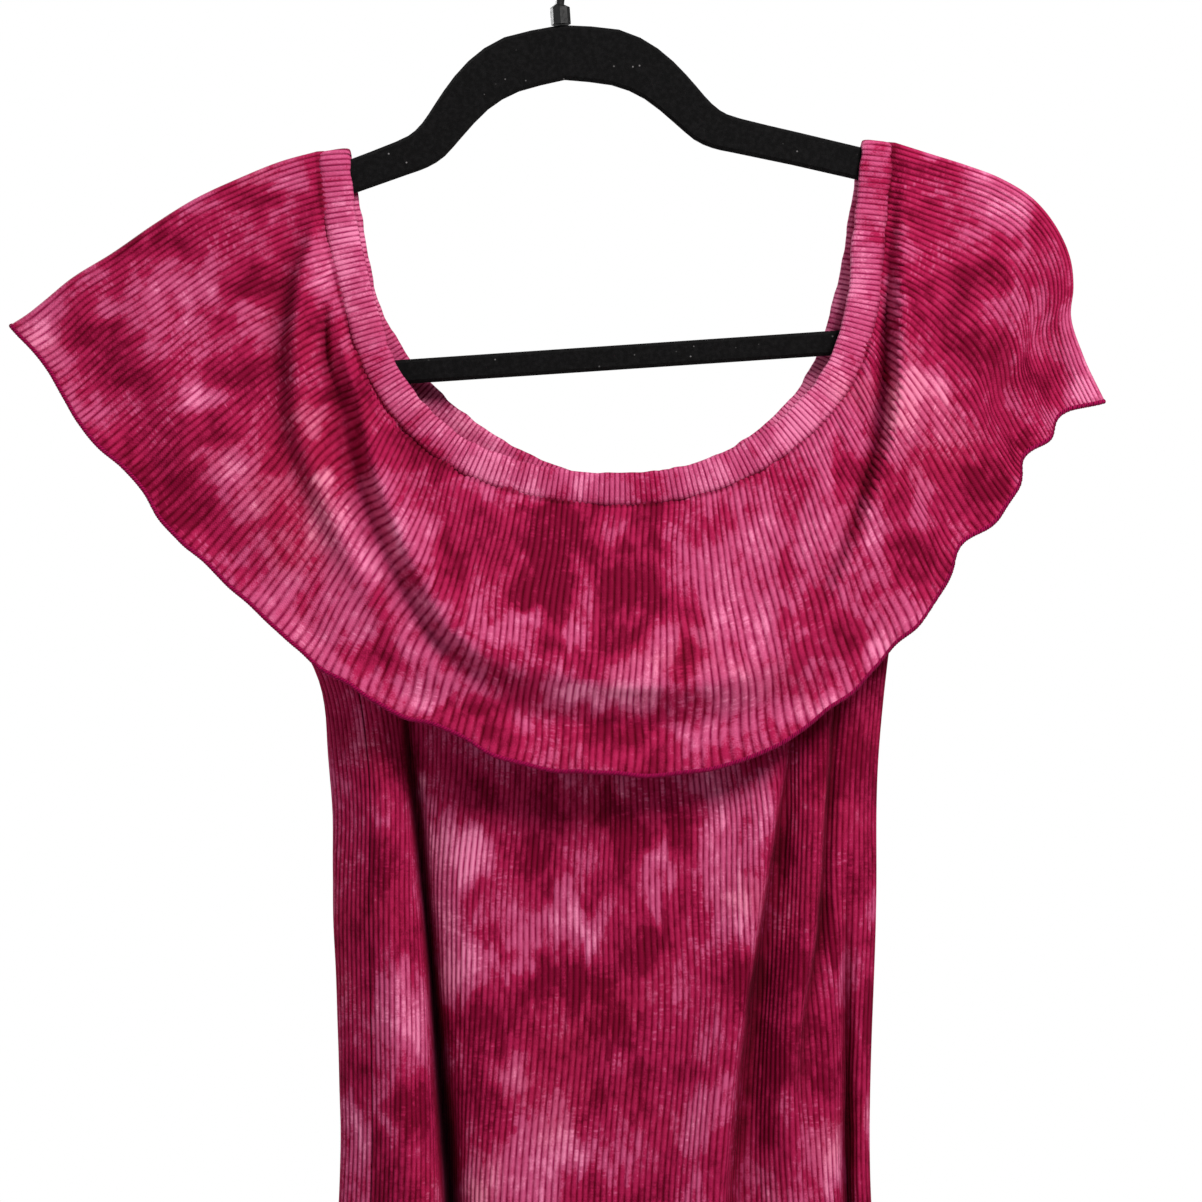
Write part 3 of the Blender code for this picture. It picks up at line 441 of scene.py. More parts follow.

# Dye patches, a few of them painted highlight: across and down in the photograph's pixels, half width,
# half height, change of tone
FLOUNCE_DYE_AND_HIGHLIGHT = (
    (553, 538, 10, 15, 0.45), (549, 512, 4, 7, 0.35), (533, 598, 10, 9, 0.5), (558, 592, 9, 12, 0.5),
    (614, 590, 9, 9, 0.38), (592, 552, 9, 6, 0.2), (608, 636, 12, 6, 0.18), (549, 642, 5, 6, 0.25),
    (655, 522, 4, 12, 0.18), (634, 546, 7, 3, 0.2), (426, 455, 11, 7, 0.4), (448, 472, 8, 4, 0.3),
    (383, 657, 11, 7, 0.4), (470, 708, 16, 5, 0.35), (505, 728, 10, 5, 0.3), (612, 730, 15, 6, 0.3),
    (684, 656, 4, 9, 0.3), (850, 480, 8, 8, 0.25), (320, 610, 14, 8, 0.2), (455, 560, 8, 12, 0.22),
    (650, 600, 5, 9, 0.25), (418, 533, 12, 14, -0.28), (533, 499, 10, 4, -0.25),
    (529, 614, 7, 3, -0.35), (580, 634, 8, 5, -0.35), (637, 676, 12, 12, -0.5),
    (597, 694, 15, 6, -0.45), (565, 676, 10, 9, -0.3), (661, 641, 7, 10, -0.35),
    (716, 590, 9, 18, -0.28), (754, 626, 8, 9, -0.3), (795, 705, 14, 6, -0.35), (872, 655, 7, 9, -0.3),
    (327, 483, 4, 5, -0.4), (427, 692, 6, 6, -0.35), (525, 720, 6, 4, -0.3), (760, 540, 9, 14, -0.2),
    (380, 560, 7, 9, -0.3), (690, 730, 12, 5, -0.25), (252, 199, 18, 5, 0.3), (160, 245, 20, 8, 0.2),
    (270, 290, 13, 12, 0.3), (250, 372, 19, 8, 0.27), (98, 336, 12, 8, 0.24), (122, 380, 22, 13, 0.24),
    (165, 440, 24, 13, 0.22), (190, 502, 17, 15, 0.26), (190, 330, 70, 60, 0.07),
    (280, 457, 8, 6, 0.22), (340, 400, 4, 9, 0.2), (42, 336, 9, 7, -0.32), (196, 288, 13, 10, -0.22),
    (322, 272, 5, 13, -0.35), (210, 396, 11, 6, -0.38), (224, 466, 13, 7, -0.32),
    (252, 508, 13, 7, -0.28), (316, 420, 5, 8, -0.3), (328, 482, 4, 7, -0.3), (295, 184, 8, 4, -0.22),
    (936, 170, 12, 5, 0.25), (985, 272, 11, 6, 0.32), (977, 351, 12, 10, 0.3),
    (1046, 375, 10, 10, 0.25), (1027, 441, 9, 6, 0.25), (973, 478, 15, 9, 0.26),
    (903, 553, 12, 14, 0.26), (842, 635, 8, 8, 0.22), (878, 368, 3, 11, 0.25),
    (1006, 219, 11, 7, -0.32), (924, 392, 10, 7, -0.48), (915, 500, 7, 14, -0.32),
    # The pale patches at 894, 893, 892 and 868 across are painted highlight along the crest of the
    # right shoulder fold
    (903, 244, 6, 9, -0.22), (1080, 388, 6, 6, -0.28), (833, 697, 8, 5, -0.32), (894, 245, 5, 20, -0.2),
    (893, 325, 5, 18, -0.26), (892, 430, 6, 20, -0.3), (868, 522, 6, 17, -0.26),
    (800, 560, 5, 18, -0.2),
)

BODY_DYE_AND_HIGHLIGHT = (
    (350, 852, 7, 7, 0.32), (357, 966, 10, 13, 0.48), (415, 1100, 9, 15, 0.42),
    (361, 1142, 7, 13, 0.36), (495, 786, 13, 7, 0.36), (545, 805, 15, 9, 0.36), (530, 851, 11, 8, 0.32),
    (621, 824, 12, 9, 0.46), (683, 824, 9, 10, 0.42), (568, 978, 22, 12, 0.5), (644, 948, 12, 9, 0.32),
    (484, 932, 10, 5, 0.32), (480, 1017, 18, 9, 0.3), (614, 1024, 18, 5, 0.28),
    (491, 1107, 9, 13, 0.38), (468, 1073, 9, 6, 0.32), (759, 1061, 10, 18, 0.46),
    (755, 1124, 13, 13, 0.36), (630, 1101, 9, 3, 0.4), (600, 1085, 5, 6, 0.25), (790, 954, 6, 13, 0.32),
    (828, 940, 6, 11, 0.36), (778, 847, 6, 12, 0.28), (870, 1023, 4, 11, 0.4), (553, 884, 5, 7, 0.3),
    (700, 905, 5, 10, 0.25), (650, 1180, 12, 9, 0.25), (430, 801, 5, 5, -0.5),
    (452, 848, 14, 16, -0.52), (484, 856, 6, 9, -0.28), (463, 968, 10, 18, -0.46),
    (442, 912, 8, 14, -0.35), (583, 852, 10, 12, -0.36), (564, 906, 10, 11, -0.46),
    (656, 875, 9, 14, -0.42), (591, 920, 6, 8, -0.42), (720, 875, 13, 34, -0.3),
    (744, 917, 5, 13, -0.36), (399, 1008, 14, 26, -0.46), (384, 797, 6, 16, -0.32),
    (396, 1116, 6, 6, -0.42), (507, 1066, 11, 5, -0.32), (530, 1142, 26, 24, -0.48),
    # The pale patch at 760 across and 832 down is painted highlight on a ridge of the body's right side
    (760, 832, 6, 28, -0.3), (560, 1078, 14, 13, -0.28), (832, 1154, 5, 14, -0.48),
    (706, 1024, 6, 12, -0.22), (870, 908, 4, 9, -0.32), (870, 1128, 4, 9, -0.32),
    (350, 1116, 6, 11, -0.28), (625, 779, 6, 6, -0.32), (338, 938, 4, 9, -0.26),
    (470, 1190, 10, 8, -0.4), (690, 1120, 10, 14, -0.2),
)


# Curves and profiles
def unit(vectors):
    return vectors / np.linalg.norm(vectors, axis=-1, keepdims=True)


def chain(points):
    """Length along a line of points, up to each of them."""
    steps = np.linalg.norm(np.diff(points, axis=0), axis=1)
    return np.concatenate([[0.0], np.cumsum(steps)])


def from_edge(shares):
    return np.minimum(shares, 1.0 - shares)


def signed_power(value, power):
    return np.sign(value) * np.abs(value) ** power


def smoothstep(value):
    part = np.clip(value, 0.0, 1.0)
    return part * part * (3.0 - 2.0 * part)


def hermite(knots, values, query):
    """Values read along a smooth curve through the rows of a table."""
    knots = np.asarray(knots, float)
    values = np.asarray(values, float)
    query = np.clip(np.asarray(query, float), knots[0], knots[-1])
    slopes = np.gradient(values, knots, axis=0)
    row = np.clip(np.searchsorted(knots, query, side="right") - 1, 0, len(knots) - 2)
    step = knots[row + 1] - knots[row]
    part = (query - knots[row]) / step
    if values.ndim > 1:
        step = step[..., None]
        part = part[..., None]
    rise = part * part * (3.0 - 2.0 * part)
    return (
        values[row] * (1.0 - rise)
        + values[row + 1] * rise
        + slopes[row] * step * part * (1.0 - part) ** 2
        - slopes[row + 1] * step * part * part * (1.0 - part)
    )


def table_curve(table, query):
    """Reads a table whose first column is the place along it."""
    rows = np.asarray(table, float)
    values = rows[:, 1] if rows.shape[1] == 2 else rows[:, 1:]
    return hermite(rows[:, 0], values, query)


class Line:
    """A smooth line through a table's points, read by the share of its length."""

    def __init__(self, points, count=LINE_POINTS):
        points = np.asarray(points, float)
        chord = chain(points)
        self.points = hermite(chord, points, np.linspace(0.0, chord[-1], count))
        self.reach = chain(self.points)
        self.length = self.reach[-1]

    def at(self, share):
        place = np.asarray(share) * self.length
        return np.stack([np.interp(place, self.reach, axis) for axis in self.points.T], axis=-1)

    def inward(self, share, nudge=0.002):
        """The unit direction across the line, towards the neck opening."""
        ahead = self.at(np.clip(share + nudge, 0.0, 1.0))
        along = unit(ahead - self.at(np.clip(share - nudge, 0.0, 1.0)))
        return np.stack([-along[..., 1], along[..., 0]], axis=-1)

    def distance(self, points):
        """How far each point lies from the line, in the plane of the hanger."""
        flat = points.reshape(-1, 1, 2)
        start = self.points[None, :-1]
        run = np.diff(self.points, axis=0)[None]
        part = ((flat - start) * run).sum(axis=-1) / (run * run).sum(axis=-1)
        foot = start + run * np.clip(part, 0.0, 1.0)[..., None]
        return np.linalg.norm(flat - foot, axis=-1).min(axis=1).reshape(points.shape[:-1])


def roll(distance, radius=ROLL_RADIUS):
    """0 on a fold's edge and 1 beyond its radius, as a quarter circle."""
    part = 1.0 - np.clip(distance / radius, 0.0, 1.0)
    return np.sqrt(np.clip(1.0 - part * part, 0.0, 1.0))


def fold_strength(flat, rows, count):
    """How much of one fold reaches each point, and the fold's direction beside it."""
    table = np.asarray(rows, float)
    line = Line(table[:, :2], count=count)
    chord = chain(table[:, :2])
    sizes = hermite(chord, table[:, 2:], np.linspace(0.0, chord[-1], count))
    gaps = np.linalg.norm(flat[:, None] - line.points[None], axis=-1)
    near = gaps.argmin(axis=1)
    gap = gaps[np.arange(len(flat)), near]
    away = flat - line.points[near]
    towards = (away * (np.array(NECK_CENTRE) - line.points[near])).sum(axis=1) > 0.0
    width = np.where(towards, sizes[near, 1], sizes[near, 2])
    along = unit(np.gradient(line.points, axis=0))
    return sizes[near, 0] * np.exp(-((gap / width) ** 2)), along[near]


def plane_folds(points, folds):
    """Height that a panel's folds add at points of the hanger's plane."""
    flat = points.reshape(-1, 2)
    total = sum(fold_strength(flat, rows, FOLD_POINTS)[0] for rows in folds)
    return total.reshape(points.shape[:-1])


def dragged(points, rows):
    """Points of the hanger's plane, drawn along a fold so that the ribs bend over it."""
    flat = points.reshape(-1, 2)
    amount, along = fold_strength(flat, rows, DRAG_POINTS)
    return (flat + amount[:, None] * along).reshape(points.shape)


def cloud(across, down, seed):
    """Smooth noise from -1 to 1 over a plane, the same on each run."""
    table = np.random.default_rng(seed).uniform(-1.0, 1.0, (CLOUD_CELLS, CLOUD_CELLS))
    column = np.floor(across).astype(int)
    row = np.floor(down).astype(int)
    part_x = smoothstep(across - column)
    part_y = smoothstep(down - row)
    left = column % CLOUD_CELLS
    right = (column + 1) % CLOUD_CELLS
    rows = [
        table[line % CLOUD_CELLS, left] * (1.0 - part_x) + table[line % CLOUD_CELLS, right] * part_x
        for line in (row, row + 1)
    ]
    return rows[0] * (1.0 - part_y) + rows[1] * part_y


def cloud_line(across, seed):
    return cloud(across, np.zeros_like(across), seed)


# Shells
def shell_columns(ribs):
    """Shares of the columns: a few to each rib, and more beside the two edges."""
    edge = np.asarray(FOLD_EDGE)
    regular = np.linspace(0.0, 1.0, ribs * RIB_COLUMNS + 1)
    return np.unique(np.concatenate([regular, edge, 1.0 - edge]))


def rib_profile(phase):
    """1 along the middle of each rib, and 0 in the groove between two."""
    return 1.0 - np.abs(2.0 * (phase % 1.0) - 1.0) ** 3


def surface_normals(grid, facing):
    normals = unit(np.cross(np.gradient(grid, axis=1), np.gradient(grid, axis=0)))
    middle = normals[:, normals.shape[1] // 2, 1].mean()
    return normals if middle * facing > 0.0 else -normals


def wander(grid, shares, ribs, seed):
    """Lets the ribs drift a little from side to side, as in hand-cut knit."""
    down = np.arange(len(grid))[:, None] / len(grid) * DRIFT_ROWS
    drift = sum(
        weight * cloud(shares[None] * ribs / cell, down * tall, seed + step)
        for step, (cell, tall, weight) in enumerate(DRIFT)
    )
    query = shares[None] + DRIFT_REACH / ribs * drift * np.sin(math.pi * shares)[None] ** DRIFT_FADE
    moved = np.empty_like(grid)
    for row in range(len(grid)):
        for axis in range(3):
            moved[row, :, axis] = np.interp(query[row], shares, grid[row, :, axis])
    return moved


def rumpled(grid, part, settled):
    """Slight unevenness of a panel, even all over or growing towards its hem."""
    parts = np.linspace(0.0, 1.0, len(grid))[:, None]
    return sum(
        height * cloud(grid[..., 0] / wide, grid[..., 2] / tall, seed) * settled * parts ** grows
        for height, wide, tall, seed, grows in RUMPLES[part]
    )


def dye_and_highlight_tone(grid, ribs_at, patches, seed, part):
    """Tone of the dye at each point, from 0 for pale to 1 for deep, feathered along the ribs; a few
    pale patches are painted highlight on fold crests.
    """
    along = unit(np.gradient(grid, axis=0))
    index = np.floor(ribs_at)[None] * FEATHER_STEP + np.zeros(grid.shape[:2])
    feather = DYE_FEATHER[part] * cloud(index, grid[..., 2] / FEATHER_LENGTH, seed + FEATHER_SEED)
    place = grid + along * feather[..., None]
    x = place[..., 0]
    z = place[..., 2]
    tone = np.full(x.shape, DYE_BASE[part])
    for step, (size, amount) in enumerate(DYE_CLOUDS):
        down = z / size / CLOUD_TALL + CLOUD_PLACE[1]
        tone += amount * cloud(x / size + CLOUD_PLACE[0], down, seed + step)
    for across, down, half_width, half_height, change in patches:
        centre_x = (across - PHOTO_AXIS[0]) / PHOTO_SCALE
        centre_z = -(down - PHOTO_AXIS[1]) / PHOTO_SCALE
        gap = np.hypot((x - centre_x) / half_width, (z - centre_z) / half_height)
        share = PALE_SHARE if change < 0.0 else 1.0
        tone += share * change * np.exp(-(gap / DYE_REACH) ** DYE_EDGE)
    return np.clip(tone, 0.0, 1.0)


def scattered_dye(seed, low, high, count):
    """Patches for a side that the photograph doesn't show, with the same mix of tones."""
    chance = np.random.default_rng(seed)
    patches = []
    for _ in range(count):
        across = chance.uniform(*HIDDEN_ACROSS)
        down = chance.uniform(low, high)
        half = chance.uniform(*HIDDEN_HALF)
        change = chance.choice(HIDDEN_CHANGE)
        patches.append((across, down, half, half * chance.uniform(*HIDDEN_TALL), change))
    return patches


def cloth_mesh(name, grid, ribs_at, along, masks, facing, closed=False):
    """A mesh over a grid of points, with its ribs as a UV map and its masks as attributes."""
    rows, columns = grid.shape[:2]
    spans = (rows, columns) if closed else (rows - 1, columns - 1)
    row, column = np.meshgrid(np.arange(spans[0]), np.arange(spans[1]), indexing="ij")
    corner_row = np.stack([row, row + 1, row + 1, row], axis=-1).reshape(-1, 4)
    corner_column = np.stack([column, column, column + 1, column + 1], axis=-1).reshape(-1, 4)
    if facing > 0.0:
        corner_row = corner_row[:, ::-1]
        corner_column = corner_column[:, ::-1]
    faces = corner_row % rows * columns + corner_column % columns
    mesh = bpy.data.meshes.new(name)
    mesh.from_pydata((grid.reshape(-1, 3) * MM).tolist(), [], faces.tolist())
    rib_map = mesh.uv_layers.new(name="ribs")
    corners = np.stack([ribs_at[corner_column], along[corner_row]], axis=-1)
    rib_map.data.foreach_set("uv", corners.astype(np.float32).ravel())
    for label, values in masks.items():
        layer = mesh.attributes.new(label, "FLOAT", "POINT")
        layer.data.foreach_set("value", np.asarray(values, np.float32).ravel())
    mesh.shade_smooth()
    mesh.update()
    piece = bpy.data.objects.new(name, mesh)
    bpy.context.scene.collection.objects.link(piece)
    return piece


def thicken(piece, thickness):
    """Gives a sheet its thickness on the inner side."""
    bpy.ops.object.select_all(action="DESELECT")
    bpy.context.view_layer.objects.active = piece
    piece.select_set(True)
    bpy.ops.object.modifier_add(type="SOLIDIFY")
    wall = piece.modifiers[-1]
    wall.thickness = thickness
    wall.offset = -1.0
    bpy.ops.object.modifier_apply(modifier=wall.name)


def finish_piece(piece, material, node=None):
    piece.data.materials.clear()
    piece.data.materials.append(bpy.data.materials[material])
    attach(piece, "root")
    if node:
        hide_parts(node)


def tucked(grid, side, along):
    """A row above the top edge of a panel, run up behind the casing."""
    row = grid[0].copy()
    row[:, (0, 2)] += Line(CASING_SEAM[side]).inward(along) * TUCK
    row[:, 1] -= np.sign(row[:, 1]) * np.minimum(TUCK_DEPTH, np.abs(row[:, 1]))
    return np.concatenate([row[None], grid])


# Flounce
def casing_depth(distance, rolled=True):
    """Depth of the seam line, by the distance down from the hanger's arm."""
    spread = smoothstep((distance - SPREAD_START) / SPREAD_LENGTH)
    depth = ROLL_RADIUS + (NECK_DEPTH - ROLL_RADIUS) * spread
    return roll(distance) * depth if rolled else depth


def flounce_plane(side, share, part):
    """Places of the flounce's grid in the hanger's plane, and how far each is from a fold."""
    seam = Line(CASING_SEAM[side])
    hem = Line(FLOUNCE_HEM[side])
    landed = table_curve(RIB_LANDING, share)
    loose_hem = smoothstep(from_edge(share) / SCALLOP["reach"])
    scallop = SCALLOP["size"] * cloud_line(landed * SCALLOP["waves"], SCALLOP["seed"]) * loose_hem
    top = seam.at(share) - seam.inward(share) * SEAM_GAP
    low = hem.at(landed) + hem.inward(landed) * scallop[:, None]
    down = part[:, None, None]
    place = top[None] * (1.0 - down) + low[None] * down
    folds = [Line(SHOULDER_FOLD[end], count=EDGE_POINTS) for end in FOLD_REACH]
    for fold, gap, reach in zip(folds, (share, 1.0 - share), FOLD_REACH.values()):
        chord = fold.points[:1] + (fold.points[-1:] - fold.points[:1]) * part[:, None]
        weight = 1.0 - smoothstep(gap / reach)
        place = place + weight[None, :, None] * (fold.at(part) - chord)[:, None]
    if side == "front":
        place = dragged(place, RIB_DRAG)
    away = np.minimum(*(fold.distance(place) for fold in folds))
    return place, away * np.clip(from_edge(share) / FOLD_EDGE[1], 0.0, 1.0), landed, seam.length


def flounce_shape(side, share, part):
    """Outer points of the flounce and how deep they lie in the creases, which sets their painted shade.
    """
    place, away, landed, seam_length = flounce_plane(side, share, part)
    across, down = np.meshgrid(share, part)
    fall = down ** FALL_POWER
    at_seam = casing_depth(from_edge(share) * seam_length, rolled=False)
    depth = at_seam[None] * (1.0 - fall) + table_curve(HEM_DEPTH, landed)[None] * fall
    depth = depth + BELLY * (4.0 * down * (1.0 - down)) * np.sin(math.pi * across) ** 2
    loose = smoothstep(away / SHOULDER_HUG)
    depth = ROLL_RADIUS + (depth - ROLL_RADIUS) * loose
    settled = smoothstep(down / FOLD_START) * smoothstep(away / FOLD_CLEAR)
    creased = settled * plane_folds(place, FLOUNCE_CREASES[side])
    depth = depth + settled * plane_folds(place, FLOUNCE_FOLDS[side]) - creased
    flip = smoothstep((down - FLIP_START) / (1.0 - FLIP_START))
    depth = depth + HEM_FLIP * flip * loose
    near_hem = smoothstep((down - RIPPLE["start"]) / RIPPLE["reach"])
    ripple = cloud_line(across * RIPPLE["waves"], RIPPLE["seed"])
    depth = depth + RIPPLE["size"] * ripple * near_hem * loose
    depth = np.maximum((depth - FLOUNCE_SEAT) * roll(away), FOLD_GAP)
    grid = np.stack([place[..., 0], FACING[side] * depth, place[..., 1]], axis=-1)
    return grid, creased / CREASE_FULL


def flounce_grid(side, ribs, rib_height):
    """The fine grid of one flounce panel, its columns, rows, painted shade of its creases, and normals.
    """
    shares = shell_columns(ribs)
    parts = np.linspace(0.0, 1.0, FLOUNCE_ROWS)
    grid, crease = flounce_shape(side, shares, parts)
    grid = wander(grid, shares, ribs, DRIFT_SEEDS["flounce"][side])
    normals = surface_normals(grid, FACING[side])
    for column in (0, -1):
        normals[:, column, 1] = 0.0
        normals[:, column] = unit(normals[:, column])
    settled = smoothstep(from_edge(shares) / EDGE_STILL["flounce"])[None]
    press, press_reach = SEAM_PRESS
    pressed = -press * (1.0 - smoothstep(parts / press_reach))[:, None] * settled
    pucker = cloud_line(shares * ribs / PUCKER["ribs"], PUCKER["seed"])[None] * settled
    near_seam = np.exp(-parts / PUCKER["reach"])[:, None]
    relief = rib_height * rib_profile(shares * ribs)[None]
    relief = relief + rumpled(grid, "flounce", settled) + pressed
    grid = grid + normals * (relief + PUCKER["size"] * pucker * near_seam)[..., None]
    # Painted shade along the seam under the casing, uneven with the puckers
    crease[0] = SEAM_SHADE[0] + SEAM_SHADE[1] * pucker[0]
    crease = np.concatenate([crease[:1], crease])
    parts = np.append(-TUCK / FLOUNCE_DROP, parts)
    return tucked(grid, side, shares), shares, parts * FLOUNCE_DROP, crease, normals


def thread_piece(name, path, outward, downward, radius):
    """A closed looped thread that wraps an edge."""
    reach = chain(np.concatenate([path, path[:1]]))
    count = int(reach[-1] / THREAD_STEP)
    query = np.linspace(0.0, reach[-1], count, endpoint=False)

    def sample(values):
        looped = np.concatenate([values, values[:1]])
        return np.stack([np.interp(query, reach, axis) for axis in looped.T], axis=-1)

    loops = np.round(reach[-1] / THREAD_PITCH)
    phase = query / reach[-1] * loops
    least, more = THREAD_SWELL
    swell = radius * (least + more * np.abs(np.sin(math.pi * phase)))
    turns = np.linspace(0.0, 2.0 * math.pi, THREAD_SIDES, endpoint=False)
    ring = (
        sample(outward)[:, None] * np.cos(turns)[None, :, None]
        + sample(downward)[:, None] * np.sin(turns)[None, :, None] * THREAD_TALL
    )
    grid = (sample(path)[:, None] + ring * swell[:, None, None]).transpose(1, 0, 2)
    around = np.linspace(0.0, 1.0, THREAD_SIDES + 1)
    return cloth_mesh(name, grid, np.append(phase, loops), around, {}, 1.0, closed=True)


# Body
def level_folds(folds, drop, x):
    """Height that a panel's folds have along one level of the body."""
    total = np.zeros_like(x)
    for rows in folds:
        at, height, left_width, right_width = table_curve(rows, drop)
        height *= smoothstep((drop - rows[0][0]) / FOLD_ONSET + FOLD_GIVEN)
        width = np.where(x < at, left_width, right_width)
        total += height * np.exp(-(((x - at) / width) ** 2))
    return total


def body_section(drop):
    """Front and back halves of the body's outline at one level, both from left to right."""
    left, right, depth, seam = table_curve(BODY_SECTIONS, drop)
    turn = np.linspace(0.0, math.pi, OUTLINE_POINTS)
    power = 2.0 / BODY_SQUARENESS
    reach = -signed_power(np.cos(turn), power)
    x = (left + right) / 2.0 + (right - left) / 2.0 * reach
    base = depth * np.sin(turn) ** power
    fade = 1.0 - np.abs(reach) ** EDGE_FADE
    halves = {}
    for side, facing in FACING.items():
        raised = level_folds(BODY_FOLDS[side], drop, x)
        creased = level_folds(BODY_CREASES[side], drop, x)
        y = facing * (base + (raised - creased) * fade)
        # The third value is the painted shade of the creases
        halves[side] = np.stack([x, y, creased / CREASE_FULL], axis=-1)
    return halves, seam


def body_loop(side, drop):
    """Outline of one panel at one level, from its left seam to its right seam."""
    halves, seam = body_section(drop)
    front = halves["front"]
    start = np.array([[seam, np.interp(seam, front[:, 0], front[:, 1]), 0.0]])
    if side == "front":
        return np.concatenate([start, front[front[:, 0] > seam]])
    lap = front[front[:, 0] < seam][::-1]
    return np.concatenate([start, lap, halves["back"][1:]])


def body_row(side, shares, drop):
    """Points of one level of a panel, evenly spread between its two seams, and the painted shade of its
    creases.
    """
    loop = body_loop(side, drop)
    reach = chain(loop[:, :2])
    place = BODY_INSET + shares * (reach[-1] - 2.0 * BODY_INSET)
    x, y, crease = (np.interp(place, reach, axis) for axis in loop.T)
    return np.stack([x, y, np.full_like(x, -drop), crease], axis=-1)


def armhole_share(shares):
    return ARMHOLE[0] + (ARMHOLE[1] - ARMHOLE[0]) * shares


def body_point(side, shares, level):
    """One row of a panel: level 0 to 1 from the casing to the underarm, then the drop."""
    if level >= 1.0:
        return body_row(side, shares, level)
    seam = Line(CASING_SEAM[side])
    along = armhole_share(shares)
    edge = seam.at(along) - seam.inward(along) * SEAM_GAP
    depth = FACING[side] * (casing_depth(from_edge(along) * seam.length) - BODY_SEAT)
    low = body_row(side, shares, UNDERARM)
    x = edge[:, 0] + (low[:, 0] - edge[:, 0]) * level
    z = edge[:, 1] + (low[:, 2] - edge[:, 1]) * level
    y = depth + (low[:, 1] - depth) * level ** 3
    return np.stack([x, y, z, low[:, 3] * level], axis=-1)


def body_grid(side, ribs, rib_height):
    """The fine grid of one body panel, its columns, rows, painted shade of its creases, and normals."""
    shares = np.linspace(0.0, 1.0, ribs * RIB_COLUMNS + 1)
    top = np.linspace(0.0, 1.0, BODY_ROWS[0], endpoint=False)
    drops = np.linspace(UNDERARM, -HEM_Z / MM, BODY_ROWS[1])
    table = np.array([body_point(side, shares, level) for level in np.append(top, drops)])
    grid = wander(table[..., :3], shares, ribs, DRIFT_SEEDS["body"][side])
    normals = surface_normals(grid, FACING[side])
    beside = from_edge(shares) * ribs
    settled = smoothstep(beside / EDGE_STILL["body"])[None]
    roll_in = -SIDE_ROLL[0] * (1.0 - smoothstep(beside / SIDE_ROLL[1]))[None]
    relief = rib_height * rib_profile(shares * ribs)[None]
    relief = relief + rumpled(grid, "body", settled) + roll_in
    grid = tucked(grid + normals * relief[..., None], side, armhole_share(shares))
    crease = np.concatenate([table[:1, :, 3], table[..., 3]])
    return grid, shares, np.linspace(0.0, BODY_DROP, len(grid)), crease, normals


# Neck casing
def casing_grid(ribs, rib_height):
    """The casing as a closed tube round the neck: rows go round its section."""
    halves = []
    for side, facing in FACING.items():
        line = Line(CASING_SEAM[side])
        shares = shell_columns(ribs)
        wave = cloud_line(shares * ribs / CASING_PUCKER_RIBS, CASING_SEEDS[side])
        wave = wave * smoothstep(from_edge(shares) / CASING_STILL)
        depth = casing_depth(from_edge(shares) * line.length) * facing
        halves.append((line.at(shares), line.inward(shares), depth, wave, shares * ribs))
    front, back = halves
    edge, inward, depth, wave = (
        np.concatenate([a, b[-2:0:-1]]) for a, b in zip(front[:4], back[:4])
    )
    last = len(front[0]) - 1
    depth[[0, last]] = 0.0
    phase = np.concatenate([front[4], front[4][-1] + (back[4][-1] - back[4][-2:0:-1])])
    middle = edge + inward * CASING_WIDTH / 2.0
    centre = np.stack([middle[:, 0], depth, middle[:, 1]], axis=-1)
    across = np.stack([inward[:, 0], np.zeros(len(depth)), inward[:, 1]], axis=-1)
    along = unit(np.roll(centre, -1, axis=0) - np.roll(centre, 1, axis=0))
    outward = unit(np.cross(across, along))
    if outward[last // 2, 1] > 0.0:
        outward = -outward
    turns = np.linspace(0.0, 2.0 * math.pi, CASING_PROFILE, endpoint=False)
    flat = signed_power(np.cos(turns), CASING_POWERS[0])
    full = signed_power(np.sin(turns), CASING_POWERS[1])
    thick = CASING_THICK / 2.0
    relief = (rib_height * rib_profile(phase))[None] * np.abs(full)[:, None]
    swell = [size * wave[None] for size in CASING_SWELL]
    reach = flat[:, None] * (CASING_WIDTH / 2.0 + CASING_SPARE + swell[0])
    height = full[:, None] * (thick + relief + swell[1]) - thick
    grid = centre[None] + across[None] * reach[..., None] + outward[None] * height[..., None]
    # Painted shade along the lower edge, where the panels are sewn, uneven with the puckers
    start, depth_at, uneven = CASING_SHADE
    seam = np.clip(-flat - start, 0.0, 1.0)[:, None] * (depth_at + uneven * wave[None])
    rows = np.append(turns, 2.0 * math.pi) * CASING_WIDTH / math.pi
    return grid, np.append(phase, front[4][-1] + back[4][-1]), rows, np.clip(seam, 0.0, 1.0)


# Node helpers
FLOAT = "NodeSocketFloat"
COLOUR = "NodeSocketColor"
VECTOR = "NodeSocketVector"


def feed(tree, socket, value):
    """Links a socket to an input, or sets the input's value."""
    if isinstance(value, bpy.types.NodeSocket):
        tree.links.new(value, socket)
    else:
        socket.default_value = value


def add_node(tree, kind, inputs=None, **settings):
    """Adds a shader node; an input is a value, or a socket to link."""
    node = tree.nodes.new(kind)
    for name, value in settings.items():
        setattr(node, name, value)
    for name, value in (inputs or {}).items():
        feed(tree, node.inputs[name], value)
    return node


def maths(tree, operation, *values):
    inputs = dict(enumerate(values))
    return add_node(tree, "ShaderNodeMath", inputs, operation=operation).outputs[0]


def times(tree, first, second):
    return maths(tree, "MULTIPLY", first, second)


def ramp(tree, value, low, high, start=0.0, end=1.0):
    """Smoothly turns a value between two limits into start to end."""
    node = add_node(
        tree, "ShaderNodeMapRange",
        {"Value": value, "From Min": low, "From Max": high, "To Min": start, "To Max": end},
        interpolation_type="SMOOTHSTEP",
    )
    return node.outputs["Result"]


def mask(tree, value, name):
    return ramp(tree, value, *MASKS[name])


